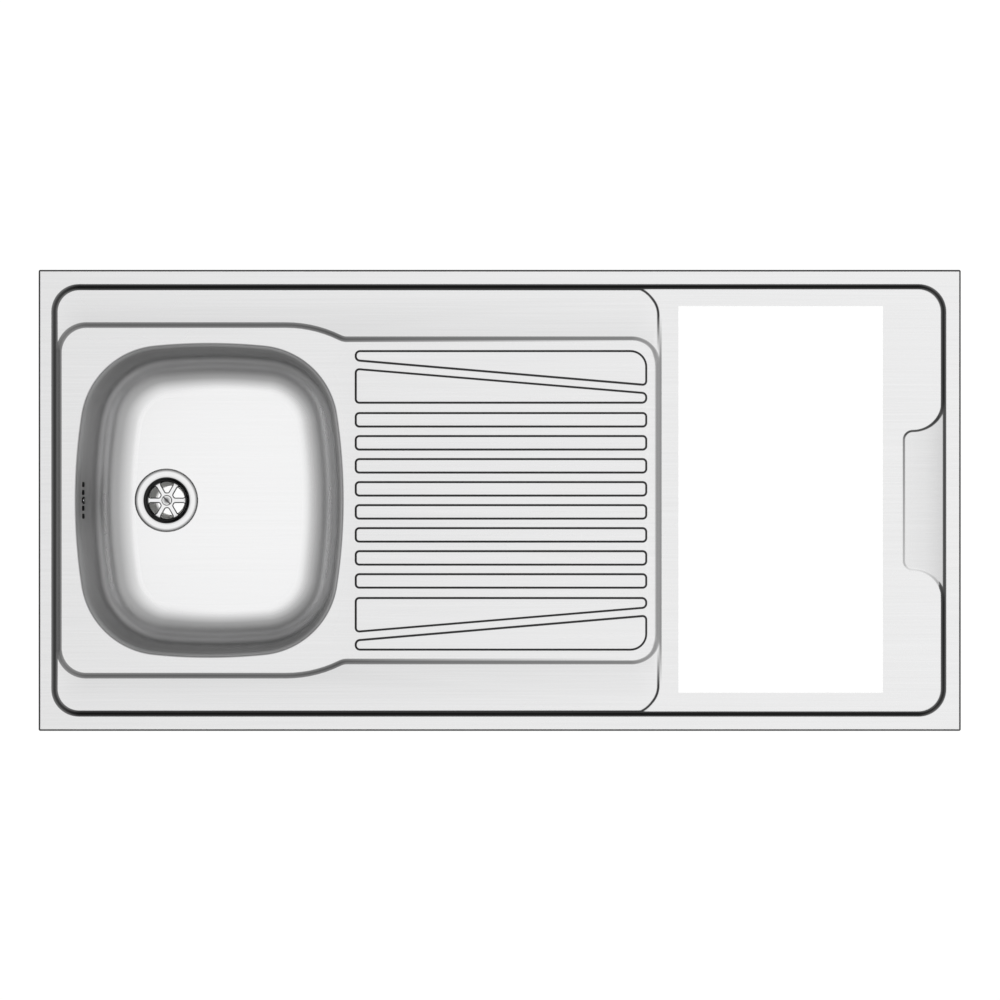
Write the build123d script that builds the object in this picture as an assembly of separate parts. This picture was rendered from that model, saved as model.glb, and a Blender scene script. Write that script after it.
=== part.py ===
from build123d import *
from math import acos, atan, cos, degrees, radians, sin, tan
import os

# Lay-on kitchen sink: one pressed steel top with a bowl on the left, a ribbed drainer in
# the middle and a hob cut-out on the right, its timber frame, fixing lugs, waste and overflow.
# Millimetres. X runs along the length, Y towards the wall, Z up. The origin is the middle of
# the plan, on the plane of the hem that rests on the cabinet.

# ---- overall size of the pressed top ----
length = 1200.0
width = 600.0
skirt_height = 30.0
sheet = 0.8
hem_width = 10.0
edge_bend_radius = 1.7

# ---- spill rim: from the outer edge to the upper line of the first pressed step ----
rim_left = 17.7
rim_right = 20.1
rim_long_side = 19.7
pool_corner_radius = 35.0
step_slope = 45.0

# ---- levels below the spill rim ----
platform_drop = 4.5
deck_drop = 5.5
field_drop = 9.5
drainer_rise = 2.0
ledge_drop = 1.0
ledge_fall = 2.0

# ---- deck around the bowl and drainer, seen from above, at deck level ----
deck_length = 790.5
deck_corner_radius = 34.0
wall_overrun = 0.6

# ---- bowl and drainer field, at deck level ----
bowl_field_half_width = 230.4
drainer_field_half_width = 211.9
field_left_radius = 38.0
field_right_radius = 37.0
shoulder_x = 317.0
shoulder_radius = 180.0
shoulder_hollow_radius = 20.0

# ---- drainer ribs ----
rib_left = 412.0
rib_run = 379.3
rib_height = 1.8
rib_width = 18.3
rib_pitch = 30.0
rib_count = 8
rib_corner_radius = 5.0
wedge_outer_edge = 194.9
wedge_inner_edge = 126.9
wedge_outer_narrow = 12.7
wedge_outer_wide = 45.0
wedge_inner_wide = 44.8
wedge_inner_narrow = 13.1
wedge_tip_radius = 6.0
wedge_corner_radius = 21.0

# ---- hob cut-out ----
cutout_right_margin = 100.9
cutout_length = 266.4
cutout_width = 503.5
cutout_shift_y = 1.2

# ---- raised ledge beside the hob ----
ledge_reach = 71.4
ledge_half_width = 88.0
ledge_corner_radius = 10.0
ledge_hollow_radius = 42.0

# ---- bowl ----
bowl_from_left = 221.2
bowl_length = 351.4
bowl_width = 411.3
bowl_side_radius = 741.0
bowl_end_radius = 730.0
bowl_corner_radius = 107.0
bowl_depth = 150.0
bowl_draft = 4.0
bowl_floor_radius = 50.0
bowl_rim_radius = 5.0
bowl_flange = 3.0

# ---- waste ----
waste_from_bowl_x = -71.2
waste_flange_diameter = 84.5
waste_recess_clearance = 0.8
waste_recess_depth = 3.0
waste_recess_slope = 70.0
waste_hole_diameter = 60.0
waste_sheet = 1.0
waste_seal_thickness = 1.0
well_mouth_diameter = 63.0
well_diameter = 56.0
grid_diameter = 53.5
grid_depth = 5.0
grid_opening_outer = 24.7
grid_opening_inner = 10.9
grid_spoke_width = 7.3
grid_spokes = 6
grid_corner_radius = 2.0
grid_dish = 1.2
strainer_lip = 1.6
strainer_edge = 0.4
waste_screw_head_diameter = 14.2
waste_screw_head_height = 3.0
waste_screw_diameter = 6.0
waste_screw_head_radius = 1.2
waste_screw_end = 2.0
screw_slot_width = 1.6
screw_slot_depth = 1.5
recess_seal_inset = 2.0
recess_seal_clearance = 1.0
under_seal_thickness = 3.0
under_seal_clearance = 2.0
waste_body_flange_diameter = 78.0
waste_body_diameter = 70.0
waste_wall = 3.0
waste_cup_height = 38.0
cup_floor_fall = 3.0
outlet_diameter = 47.8
outlet_bore = 40.0
outlet_length = 30.0
outlet_shoulder = 4.0
spider_hub_diameter = 16.0
spider_height = 22.0
spider_gap = 4.0
spider_web_step = 6.0
spider_web_rise = 1.0
spider_rib_thickness = 3.0
nut_flats = 10.0
nut_height = 5.0
shank_clearance = 0.1

# ---- overflow ----
slot_width = 6.7
slot_height = 18.0
slot_pitch = 10.5
slot_count = 5
slot_depth_below_field = 33.0
overflow_head_width = 66.0
overflow_head_height = 36.0
overflow_head_depth = 24.0
overflow_head_radius = 8.0
overflow_boss_gap = 4.0
overflow_seal_wall = 4.5
overflow_seal_reach = 12.0
overflow_gap = 3.5
overflow_wall = 2.0
overflow_screw_diameter = 5.0
overflow_screw_head = 10.0
overflow_screw_head_height = 2.0
overflow_screw_stand = 2.6
overflow_screw_slot_width = 1.2
overflow_screw_slot_depth = 0.8
overflow_screw_end_gap = 1.0
pipe_diameter = 20.0
pipe_wall = 2.0
pipe_fit = 0.2
pipe_bend_radius = 30.0
pipe_end_gap = 1.0
pipe_drop_below_bowl = 27.0
socket_wall = 2.5
socket_length = 16.0
inlet_length = 24.0
pipe_nut_wall = 3.3
pipe_nut_grip = 1.2
pipe_nut_flute_radius = 2.6
pipe_nut_height = 14.0
nut_lip = 2.0
pipe_nut_flutes = 12
pipe_seal_thickness = 4.0

# ---- sound-deadening pads ----
pad_thickness = 2.0
bowl_pad_length = 110.0
bowl_pad_width = 200.0
bowl_pad_from_bowl_x = 40.0
drainer_pad_length = 300.0
drainer_pad_width = 120.0
pad_corner_radius = 12.0

# ---- timber frame ----
batten_thickness = 16.0
timber_gap = 0.4
crossbar_height = 18.0
crossbar_rib_gap = 9.0
crossbar_hob_gap = 3.0

# ---- crossbar brackets ----
bracket_leg = 25.0
bracket_screw_reach = 16.0
bracket_height = 12.0
bracket_thickness = 2.0
bracket_screw_diameter = 3.5
bracket_screw_length = 13.0
bracket_screw_head = 7.0
bracket_screw_head_height = 2.2

# ---- fixing lugs ----
lug_spacing = 300.0
lug_width = 16.0
lug_thickness = 2.0
lug_reach = 44.0
lug_hole_diameter = 5.0
lug_pivot_height = 11.5
lug_play = 0.3
lug_screw_diameter = 4.0
lug_running_clearance = 0.08
lug_screw_length = 14.0
lug_screw_head = 8.5
lug_screw_head_height = 2.6

# ---- earthing tab ----
earth_tab_from_left = 300.0
earth_tab_width = 14.0
earth_tab_base = 12.0
earth_tab_leaf = 18.0
earth_tab_stand = 8.0
earth_tab_thickness = 1.5
earth_hole_diameter = 5.2

# ---- shapes and margins shared by several pieces ----
screw_crown = 0.6
screw_cross_length = 0.6
screw_cross_width = 0.14
screw_point_radius = 0.4
drainer_gap = 1.0
past = 1.0
far_past = 5.0
beyond = 60.0

# ---- places worked out from the sizes above ----
half_length = length / 2
half_width = width / 2
rim_z = skirt_height
platform_z = rim_z - platform_drop
deck_z = rim_z - deck_drop
field_z = rim_z - field_drop
pool_left = -half_length + rim_left
pool_right = half_length - rim_right
pool_half_width = half_width - rim_long_side
deck_left = pool_left + deck_drop / tan(radians(step_slope))
deck_right = pool_left + deck_length
deck_half_width = pool_half_width - deck_drop / tan(radians(step_slope))
bowl_x = -half_length + bowl_from_left
floor_z = field_z - bowl_depth
drainer_start_x = bowl_x + bowl_length / 2 + bowl_flange + drainer_gap
drainer_run = deck_right - drainer_start_x
drainer_angle = degrees(atan(drainer_rise / drainer_run))
cutout_x = half_length - cutout_right_margin - cutout_length / 2
earth_tab_x = -half_length + earth_tab_from_left
ledge_left = half_length - ledge_reach

waste_x = bowl_x + waste_from_bowl_x
recess_z = floor_z - waste_recess_depth
waste_top_z = recess_z + waste_seal_thickness + waste_sheet
grid_z = waste_top_z - grid_depth
under_bowl_z = recess_z - sheet
body_top_z = under_bowl_z - under_seal_thickness
cup_floor_z = body_top_z - waste_cup_height
outlet_z = cup_floor_z - waste_wall - outlet_length
pipe_z = floor_z - pipe_drop_below_bowl


def at(x, y, z, shape):
    return Pos(x, y, z) * shape


def drum(diameter, bottom, top, x=0.0, y=0.0):
    """Upright cylinder between two heights."""
    return at(x, y, (bottom + top) / 2, Cylinder(diameter / 2, top - bottom))


def block(x_span, y_span, z_span):
    """Box between pairs of limits."""
    sizes = [span[1] - span[0] for span in (x_span, y_span, z_span)]
    middle = [(span[1] + span[0]) / 2 for span in (x_span, y_span, z_span)]
    return at(*middle, Box(*sizes))


def resized(outline, growth):
    return outline if abs(growth) < 1e-9 else offset(outline, growth)


def sloped(outline, level, bottom, top, sunk):
    """Prism with sides at the step slope through an outline drawn at one level.

    A sunk prism is the air of a pressed pool, wider at its top. A raised one is wider below.
    """
    run = 1 / tan(radians(step_slope))
    taper = 90.0 - step_slope
    if sunk:
        widest = resized(outline, (top - level) * run)
        turned = extrude(at(0, 0, -top, widest), amount=top - bottom, taper=taper)
        return mirror(turned, about=Plane.XY)
    widest = resized(outline, (level - bottom) * run)
    return extrude(at(0, 0, bottom, widest), amount=top - bottom, taper=taper)


# ---- outlines in plan ----
def pool_outline():
    middle = (pool_left + pool_right) / 2
    size = (pool_right - pool_left, 2 * pool_half_width)
    return Pos(middle, 0) * RectangleRounded(*size, pool_corner_radius)


def deck_outline():
    """Right-hand end of the deck; its other sides run just past the spill rim's step."""
    left = deck_left - beyond
    half = deck_half_width + wall_overrun
    shape = Pos((left + deck_right) / 2, 0) * Rectangle(deck_right - left, 2 * half)
    return fillet(shape.vertices().filter_by(lambda v: v.X > 0), deck_corner_radius)


def field_outline():
    """Bowl and drainer field: a wide left part, a long shoulder and a narrower right part."""
    left = deck_left - wall_overrun
    right = deck_right + wall_overrun
    wide, narrow = bowl_field_half_width, drainer_field_half_width
    start = -half_length + shoulder_x
    turn = degrees(acos(1 - (wide - narrow) / shoulder_radius))
    end = start + shoulder_radius * sin(radians(turn))
    middle = (
        start + shoulder_radius * sin(radians(turn / 2)),
        wide - shoulder_radius * (1 - cos(radians(turn / 2))),
    )
    upper = [
        Line((left, 0), (left, wide)),
        Line((left, wide), (start, wide)),
        ThreePointArc((start, wide), middle, (end, narrow)),
        Line((end, narrow), (right, narrow)),
        Line((right, narrow), (right, 0)),
    ]
    half = make_face(Curve() + upper + [Line((right, 0), (left, 0))])
    half = fillet(corner(half, left, wide), field_left_radius)
    half = fillet(corner(half, right, narrow), field_right_radius)
    half = fillet(corner(half, end, narrow), shoulder_hollow_radius)
    return half + mirror(half, about=Plane.XZ)


def corner(face, x, y):
    """The face's corner nearest a point."""
    return face.vertices().sort_by_distance((x, y, 0))[0]


def oval(growth=0.0):
    """The bowl's plan: two long arcs, two end arcs and four rounded corners."""
    across = bowl_side_radius - bowl_length / 2
    along = bowl_end_radius - bowl_width / 2
    side, end = bowl_side_radius + growth, bowl_end_radius + growth
    shape = Pos(across, 0) * Circle(side) & Pos(-across, 0) * Circle(side)
    shape = shape & Pos(0, along) * Circle(end) & Pos(0, -along) * Circle(end)
    return Pos(bowl_x, 0) * fillet(shape.vertices(), bowl_corner_radius + growth)


def ledge_outline():
    """Ledge beside the hob, drawn at its own level, with hollow shoulders into the rim."""
    right = half_length
    wide = ledge_half_width
    centre_x = pool_right - ledge_drop - ledge_hollow_radius
    body = Pos((ledge_left + right) / 2, 0) * Rectangle(right - ledge_left, 2 * wide)
    left_corners = body.vertices().filter_by(lambda v: v.X < centre_x)
    body = fillet(left_corners, ledge_corner_radius)
    for side in (1, -1):
        reach = right - centre_x
        size = (reach, ledge_hollow_radius)
        web_y = side * (wide + ledge_hollow_radius / 2)
        web = Pos(centre_x + reach / 2, web_y) * Rectangle(*size)
        hollow = Pos(centre_x, side * (wide + ledge_hollow_radius)) * Circle(ledge_hollow_radius)
        body = body + (web - hollow)
    return body


def rib_outlines():
    """Drainer ribs in plan, measured from the drainer's left end: straight bars and wedges."""
    bars = []
    for n in range(rib_count):
        y = (n - (rib_count - 1) / 2) * rib_pitch
        bar = RectangleRounded(rib_run, rib_width, rib_corner_radius)
        bars.append(Pos(rib_run / 2, y) * bar)
    top = wedge_outer_edge
    outer = make_face(
        Polyline(
            (0, top),
            (rib_run, top),
            (rib_run, top - wedge_outer_wide),
            (0, top - wedge_outer_narrow),
            close=True,
        )
    )
    outer = fillet(corner(outer, rib_run, top), wedge_corner_radius)
    outer = fillet(corner(outer, rib_run, top - wedge_outer_wide), rib_corner_radius)
    outer = fillet(outer.vertices().filter_by(lambda v: v.X < past), wedge_tip_radius)
    low = wedge_inner_edge
    inner = make_face(
        Polyline(
            (0, low),
            (rib_run, low),
            (rib_run, low + wedge_inner_narrow),
            (0, low + wedge_inner_wide),
            close=True,
        )
    )
    inner = fillet(inner.vertices().filter_by(lambda v: v.X < past), rib_corner_radius)
    inner = fillet(inner.vertices().filter_by(lambda v: v.X > rib_run - past), wedge_tip_radius)
    wedges = [outer, inner]
    return bars + wedges + [mirror(wedge, about=Plane.XZ) for wedge in wedges]


# ---- pressed top ----
def drainer_plane(lowered=0.0):
    """Plane of the drainer floor, which falls towards the bowl."""
    fall = radians(drainer_angle)
    return Plane(
        origin=(drainer_start_x, 0, field_z - lowered),
        x_dir=(cos(fall), 0, sin(fall)),
        z_dir=(-sin(fall), 0, cos(fall)),
    )


def above_field(lowered):
    """Everything above the flat bowl field and the sloping drainer floor."""
    left = -half_length - beyond
    right = half_length
    rise = (right - drainer_start_x) * tan(radians(drainer_angle))
    low = field_z - lowered
    side = Polyline(
        (left, low),
        (drainer_start_x, low),
        (right, low + rise),
        (right, rim_z + beyond),
        (left, rim_z + beyond),
        close=True,
    )
    face = Plane.XZ * make_face(side)
    return extrude(face, amount=half_width + beyond, both=True)


def pressed_air(depth):
    """Air in the pressed pools: over the top face at depth 0, or over the underside's offset."""
    grown = depth * tan(radians(step_slope / 2))
    top = rim_z + far_past
    deep = field_z - far_past
    pool = sloped(resized(pool_outline(), grown), rim_z - depth, deep, top, True)
    deck = sloped(resized(deck_outline(), grown), deck_z - depth, deep, top, True)
    field = sloped(resized(field_outline(), grown), deck_z - depth, deep, top, True)
    spans = (-half_length - beyond, half_length + beyond), (-half_width - beyond, half_width + beyond)
    over_platform = block(*spans, (platform_z - depth, top))
    over_deck = block(*spans, (deck_z - depth, top))
    levels = over_platform + (deck & (over_deck + (field & above_field(depth))))
    air = (pool & levels) - ledge(depth)
    plane = drainer_plane(depth)
    rib_x = -half_length + rib_left - drainer_start_x
    for outline in rib_outlines():
        shape = resized(Pos(rib_x, 0) * outline, -grown)
        air = air - plane * sloped(shape, rib_height / 2, -past, rib_height, False)
    return air


def ledge(depth):
    """Raised ledge: sides at the step slope under a top that falls away from the rim."""
    grown = depth * tan(radians(step_slope / 2))
    level = rim_z - ledge_drop - depth
    bottom = platform_z - depth - past
    body = sloped(resized(ledge_outline(), -grown), level, bottom, level, False)
    right = half_length
    slope = ledge_fall / (pool_right - ledge_drop - ledge_left)
    under = Polyline(
        (ledge_left - beyond, level - ledge_fall - beyond * slope),
        (pool_right - ledge_drop, level),
        (right, level),
        (right, bottom),
        (ledge_left - beyond, bottom),
        close=True,
    )
    return body & extrude(Plane.XZ * make_face(under), amount=half_width, both=True)


def folded_block(inset):
    """Outer form of the folded top, or the space inside its sheet."""
    x, y = half_length - inset, half_width - inset
    body = block((-x, x), (-y, y), (inset, rim_z - inset))
    top_edges = body.faces().sort_by(Axis.Z)[-1].edges()
    return fillet(top_edges, edge_bend_radius - inset)


def cutout():
    return at(cutout_x, cutout_shift_y, rim_z / 2, Box(cutout_length, cutout_width, 2 * rim_z))


def make_top_sheet():
    outside = folded_block(0.0) - pressed_air(0.0)
    inside = folded_block(sheet) - pressed_air(sheet)
    hem_x, hem_y = half_length - sheet - hem_width, half_width - sheet - hem_width
    hem_opening = block((-hem_x, hem_x), (-hem_y, hem_y), (-past, sheet + past))
    bowl_hole = extrude(at(0, 0, field_z - far_past, oval(bowl_flange)), amount=2 * far_past)
    return outside - inside - hem_opening - bowl_hole - cutout()


# ---- bowl ----
def bowl_form(growth, floor):
    """Filled bowl: drafted walls and a large radius into the floor, out to one face."""
    widest = at(0, 0, -field_z, oval(growth - bowl_rim_radius))
    body = mirror(extrude(widest, amount=field_z - floor, taper=bowl_draft), about=Plane.XY)
    return fillet(body.faces().sort_by(Axis.Z)[0].edges(), bowl_floor_radius + growth)


def bowl_air(depth):
    """Air over the bowl and its flange at depth 0, or over the underside's offset."""
    level = field_z - depth
    over_flange = extrude(at(0, 0, level, oval(bowl_flange)), amount=far_past + depth)
    body = over_flange + bowl_form(depth, floor_z - depth)
    inside = extrude(at(0, 0, level - past, oval()), amount=2 * past)
    rim = [edge for edge in body.edges() if inside.is_inside(edge @ 0.5)]
    return fillet(rim, bowl_rim_radius - depth)


def overflow_slots():
    """Upright slots through the bowl's left wall."""
    outline = Plane.YZ * SlotOverall(slot_height, slot_width, rotation=90)
    slot = extrude(outline, amount=beyond, both=True)
    x, z = bowl_x - bowl_length / 2, field_z - slot_depth_below_field
    middle = (slot_count - 1) / 2
    return [at(x, (n - middle) * slot_pitch, z, slot) for n in range(slot_count)]


def make_bowl():
    shell = bowl_air(sheet) - bowl_air(0.0)
    everywhere = (-length, length)
    shell = shell - block(everywhere, everywhere, (field_z, field_z + beyond))
    mouth = waste_flange_diameter / 2 + waste_recess_clearance
    outer = mouth + sheet * tan(radians(waste_recess_slope / 2))
    flare = 1 / tan(radians(waste_recess_slope))
    metal_height = waste_recess_depth + sheet / 2
    metal = Cone(outer, outer + metal_height * flare, metal_height)
    air_height = waste_recess_depth + past
    air = Cone(mouth, mouth + air_height * flare, air_height)
    shell = shell + at(waste_x, 0, recess_z - sheet + metal_height / 2, metal)
    shell = shell - at(waste_x, 0, recess_z + air_height / 2, air)
    shell = shell - drum(waste_hole_diameter, recess_z - far_past, floor_z + far_past, waste_x)
    for slot in overflow_slots():
        shell = shell - slot
    return shell


# ---- waste ----
def ring(outer, inner, bottom, top, x=0.0, y=0.0):
    return drum(outer, bottom, top, x, y) - drum(inner, bottom - past, top + past, x, y)


def turned(points, x=0.0, y=0.0):
    """Solid of revolution about an upright axis from radius and height pairs."""
    face = Plane.XZ * make_face(Polyline(*points, close=True))
    return at(x, y, 0, revolve(face, Axis.Z))


def grid_openings():
    """Openings of the strainer grid between its spokes."""
    field = Circle(grid_opening_outer) - Circle(grid_opening_inner)
    for n in range(grid_spokes // 2):
        angle = n * 360.0 / grid_spokes
        field = field - Rot(0, 0, angle) * Rectangle(4 * grid_opening_outer, grid_spoke_width)
    return [fillet(face.vertices(), grid_corner_radius) for face in field.faces()]


def make_strainer():
    """Flange, well and grid pressed from one sheet."""
    top, thick = waste_top_z, waste_sheet
    flange, mouth = waste_flange_diameter / 2, well_mouth_diameter / 2
    well, grid = well_diameter / 2, grid_diameter / 2
    body = turned(
        [
            (0, top - grid_depth),
            (grid, top - grid_depth),
            (well, top - grid_depth + grid_dish),
            (well, top - strainer_lip),
            (mouth - strainer_lip, top - strainer_edge),
            (mouth, top),
            (flange - strainer_edge, top),
            (flange, top - strainer_edge),
            (flange, top - thick),
            (well + thick + strainer_lip, top - thick),
            (well + thick, top - 2 * thick),
            (well + thick, top - grid_depth + grid_dish / 2),
            (grid + grid_dish / 2, top - grid_depth - thick),
            (0, top - grid_depth - thick),
        ],
        waste_x,
    )
    for outline in grid_openings():
        body = body - at(waste_x, 0, grid_z - far_past, extrude(outline, amount=2 * far_past))
    hole = waste_screw_diameter + 2 * shank_clearance
    return body - drum(hole, grid_z - far_past, grid_z + far_past, waste_x)


def make_waste_screw():
    """Slotted screw that draws the strainer down onto the waste body's nut."""
    bottom = nut_z() - waste_screw_end
    head = drum(waste_screw_head_diameter, grid_z, grid_z + waste_screw_head_height, waste_x)
    head = fillet(head.edges().sort_by(Axis.Z)[-1], waste_screw_head_radius)
    shank = drum(waste_screw_diameter, bottom, grid_z, waste_x)
    slot_z = grid_z + waste_screw_head_height
    slot = Box(2 * waste_screw_head_diameter, screw_slot_width, 2 * screw_slot_depth)
    return head + shank - at(waste_x, 0, slot_z, slot)


def hub_top():
    return grid_z - waste_sheet - spider_gap


def nut_z():
    """Underside of the brass nut in the foot of the spider's hub."""
    return hub_top() - spider_height


def hexagon(flats):
    return RegularPolygon(flats / 2, 6, major_radius=False)


def make_waste_nut():
    nut = extrude(at(waste_x, 0, nut_z(), hexagon(nut_flats)), amount=nut_height)
    return nut - drum(waste_screw_diameter, nut_z() - past, nut_z() + nut_height + past, waste_x)


def make_waste_body():
    """Plastic cup under the bowl with a spider for the screw, an outlet and a side inlet."""
    top, wall = body_top_z, waste_wall
    cup, flange = waste_body_diameter / 2, waste_body_flange_diameter / 2
    out, bore = outlet_diameter / 2, outlet_bore / 2
    body = turned(
        [
            (cup - wall, top),
            (flange, top),
            (flange, top - wall),
            (cup, top - wall),
            (cup, cup_floor_z),
            (out, cup_floor_z - wall - outlet_shoulder),
            (out, outlet_z),
            (bore, outlet_z),
            (bore, cup_floor_z - cup_floor_fall),
            (cup - wall, cup_floor_z + cup_floor_fall),
        ],
        waste_x,
    )
    ribs = drum(spider_hub_diameter, nut_z(), hub_top(), waste_x)
    for n in range(grid_spokes // 2):
        web = Box(2 * cup - wall, spider_rib_thickness, spider_height - spider_web_step)
        web = Rot(0, 0, n * 360.0 / grid_spokes) * web
        ribs = ribs + at(waste_x, 0, (nut_z() + hub_top()) / 2 + spider_web_rise, web)
    inlet_x = waste_x - cup - inlet_length
    socket = pipe_diameter / 2 + pipe_fit + socket_wall
    tube = lying(2 * socket, inlet_x, waste_x - cup + wall / 2, pipe_z)
    bore_tube = lying(pipe_diameter + 2 * pipe_fit, inlet_x - past, inlet_x + socket_length, pipe_z)
    water_way = lying(pipe_diameter - 2 * pipe_wall, inlet_x, waste_x - cup + 2 * wall, pipe_z)
    body = body + ribs + tube - bore_tube - water_way
    shank = waste_screw_diameter + 2 * shank_clearance
    pocket = extrude(at(waste_x, 0, nut_z() - past, hexagon(nut_flats)), amount=nut_height + past)
    return body - drum(shank, nut_z(), hub_top() + past, waste_x) - pocket


def lying(diameter, left, right, z, y=0.0):
    """Cylinder along X between two places."""
    return at((left + right) / 2, y, z, Rot(0, 90, 0) * Cylinder(diameter / 2, right - left))


# ---- overflow ----
wall_x = bowl_x - bowl_length / 2 + bowl_rim_radius - sheet
head_front_x = wall_x - overflow_gap
head_back_x = head_front_x - overflow_head_depth
pipe_x = (head_front_x + head_back_x) / 2
slot_z = field_z - slot_depth_below_field
socket_top = slot_z - overflow_head_height / 2
inlet_end_x = waste_x - waste_body_diameter / 2 - inlet_length


def bowl_outside():
    return bowl_form(sheet, floor_z - sheet)


def head_box(inset, depth):
    """Rounded box across the overflow slots, open towards the bowl."""
    width, height = overflow_head_width - 2 * inset, overflow_head_height - 2 * inset
    face = Plane.YZ * RectangleRounded(width, height, overflow_head_radius - inset)
    return at(head_front_x, 0, slot_z, extrude(face, amount=-depth))


def make_overflow_head():
    wall = overflow_wall
    body = head_box(0.0, overflow_head_depth)
    socket = pipe_diameter / 2 + pipe_fit + socket_wall
    bottom = socket_top - socket_length
    body = body + drum(2 * socket, bottom, socket_top, pipe_x)
    body = body - head_box(wall, overflow_head_depth - wall)
    boss = lying(2 * overflow_screw_diameter, head_back_x, head_front_x - overflow_boss_gap, slot_z)
    body = body + boss
    body = body - lying(overflow_screw_diameter, head_back_x - past, head_front_x, slot_z)
    body = body - drum(pipe_diameter + 2 * pipe_fit, bottom - past, socket_top, pipe_x)
    water_way = pipe_diameter - 2 * pipe_wall
    return body - drum(water_way, socket_top - past, socket_top + wall + past, pipe_x)


def make_overflow_seal():
    """Rubber frame between the overflow head and the bowl's drafted, curved wall."""
    width, height = overflow_head_width, overflow_head_height
    wall = overflow_seal_wall
    opening = (width - 2 * wall, height - 2 * wall, overflow_head_radius - wall)
    frame = RectangleRounded(width, height, overflow_head_radius) - RectangleRounded(*opening)
    thick = overflow_gap + overflow_seal_reach
    body = at(head_front_x, 0, slot_z, extrude(Plane.YZ * frame, amount=thick))
    return body - bowl_outside()


def make_overflow_screw():
    seat = bowl_x - bowl_length / 2 + bowl_rim_radius + overflow_screw_stand
    face_x = seat + overflow_screw_head_height
    head = lying(overflow_screw_head, seat, face_x, slot_z)
    head = fillet(head.edges().sort_by(Axis.X)[-1], overflow_screw_head_height / 2)
    depth = 2 * overflow_screw_slot_depth
    slot = at(face_x, 0, slot_z, Box(depth, 2 * overflow_screw_head, overflow_screw_slot_width))
    end = head_back_x + overflow_screw_end_gap
    return head - slot + lying(overflow_screw_diameter, end, seat, slot_z)


def make_overflow_pipe():
    """Rigid pipe from the overflow head down and round to the waste body's side inlet."""
    top = socket_top - pipe_end_gap
    end = inlet_end_x + socket_length - pipe_end_gap
    bend = pipe_bend_radius
    inset = bend * (1 - cos(radians(45)))
    middle = (pipe_x + inset, 0, pipe_z + inset)
    path = Curve() + [
        Line((pipe_x, 0, top), (pipe_x, 0, pipe_z + bend)),
        ThreePointArc((pipe_x, 0, pipe_z + bend), middle, (pipe_x + bend, 0, pipe_z)),
        Line((pipe_x + bend, 0, pipe_z), (end, 0, pipe_z)),
    ]
    section = Circle(pipe_diameter / 2) - Circle(pipe_diameter / 2 - pipe_wall)
    return sweep(at(pipe_x, 0, top, section), path=Wire(path.edges()))


def fluted_nut(bore):
    """Hand-tightened nut with grip flutes and a lip, standing on its open end at the origin."""
    socket = pipe_diameter / 2 + pipe_fit + socket_wall
    radius = socket + pipe_nut_wall
    outline = Circle(radius)
    flute_x = radius + pipe_nut_flute_radius - pipe_nut_grip
    for n in range(pipe_nut_flutes):
        angle = n * 360.0 / pipe_nut_flutes
        outline = outline - Rot(0, 0, angle) * Pos(flute_x, 0) * Circle(pipe_nut_flute_radius)
    body = extrude(outline, amount=pipe_nut_height)
    body = body - drum(2 * socket, -past, pipe_nut_height - nut_lip)
    return body - drum(bore, 0.0, pipe_nut_height + past)


def nut_overlap():
    """How far a pipe nut covers the socket that it is tightened onto."""
    return pipe_nut_height - nut_lip - pipe_seal_thickness


def socket_bottom():
    return socket_top - socket_length


def make_pipe_nuts():
    """The nut under the overflow head and the nut on the waste body's inlet."""
    nut = fluted_nut(pipe_diameter + 2 * pipe_fit)
    upper = at(pipe_x, 0, socket_bottom() + nut_overlap(), Rot(180, 0, 0) * nut)
    lower = at(inlet_end_x + nut_overlap(), 0, pipe_z, Rot(0, -90, 0) * nut)
    return upper, lower


def make_pipe_seals():
    """Rubber rings squeezed between each socket's end and its nut's lip."""
    outer = pipe_diameter + 2 * (pipe_fit + socket_wall)
    seal = ring(outer, pipe_diameter, -pipe_seal_thickness, 0.0)
    upper = at(pipe_x, 0, socket_bottom(), seal)
    lower = at(inlet_end_x, 0, pipe_z, Rot(0, 90, 0) * seal)
    return group([upper, lower])


def make_recess_seal():
    outer = waste_flange_diameter - 2 * recess_seal_inset
    inner = waste_hole_diameter + 2 * recess_seal_clearance
    return ring(outer, inner, recess_z, recess_z + waste_seal_thickness, waste_x)


def make_under_seal():
    inner = waste_hole_diameter + 2 * under_seal_clearance
    return ring(waste_body_flange_diameter, inner, body_top_z, under_bowl_z, waste_x)


# ---- sound-deadening pads ----
def make_bowl_pad():
    x = bowl_x + bowl_pad_from_bowl_x
    face = RectangleRounded(bowl_pad_length, bowl_pad_width, pad_corner_radius)
    return extrude(at(x, 0, floor_z - sheet - pad_thickness, face), amount=pad_thickness)


def make_drainer_pad():
    """Pad stuck across the hollows of the drainer's ribs, at the drainer's slope."""
    x = -half_length + rib_left + rib_run / 2 - drainer_start_x
    face = Pos(x, 0) * RectangleRounded(drainer_pad_length, drainer_pad_width, pad_corner_radius)
    pad = extrude(at(0, 0, -pad_thickness, face), amount=pad_thickness)
    return drainer_plane(sheet) * pad


# ---- screws ----
def screw(diameter, length, head, head_height):
    """Round-headed wood screw with a cross recess, its head standing on the origin."""
    cap = drum(head, 0.0, head_height)
    cap = fillet(cap.edges().sort_by(Axis.Z)[-1], head_height * screw_crown)
    arm = Box(head * screw_cross_length, head * screw_cross_width, head_height)
    recess = arm + Rot(0, 0, 90) * arm
    point = Rot(180, 0, 0) * Cone(diameter / 2, screw_point_radius, diameter)
    tip = at(0, 0, -length + diameter / 2, point)
    shank = drum(diameter, -length + diameter, 0.0)
    return cap - at(0, 0, head_height, recess) + shank + tip


def facing(x, y, z, direction, shape):
    """Shape moved so that its own Z points along a direction."""
    return Plane(origin=(x, y, z), z_dir=direction) * shape


def group(solids):
    return Compound(children=[part.solid() for part in solids])


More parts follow.
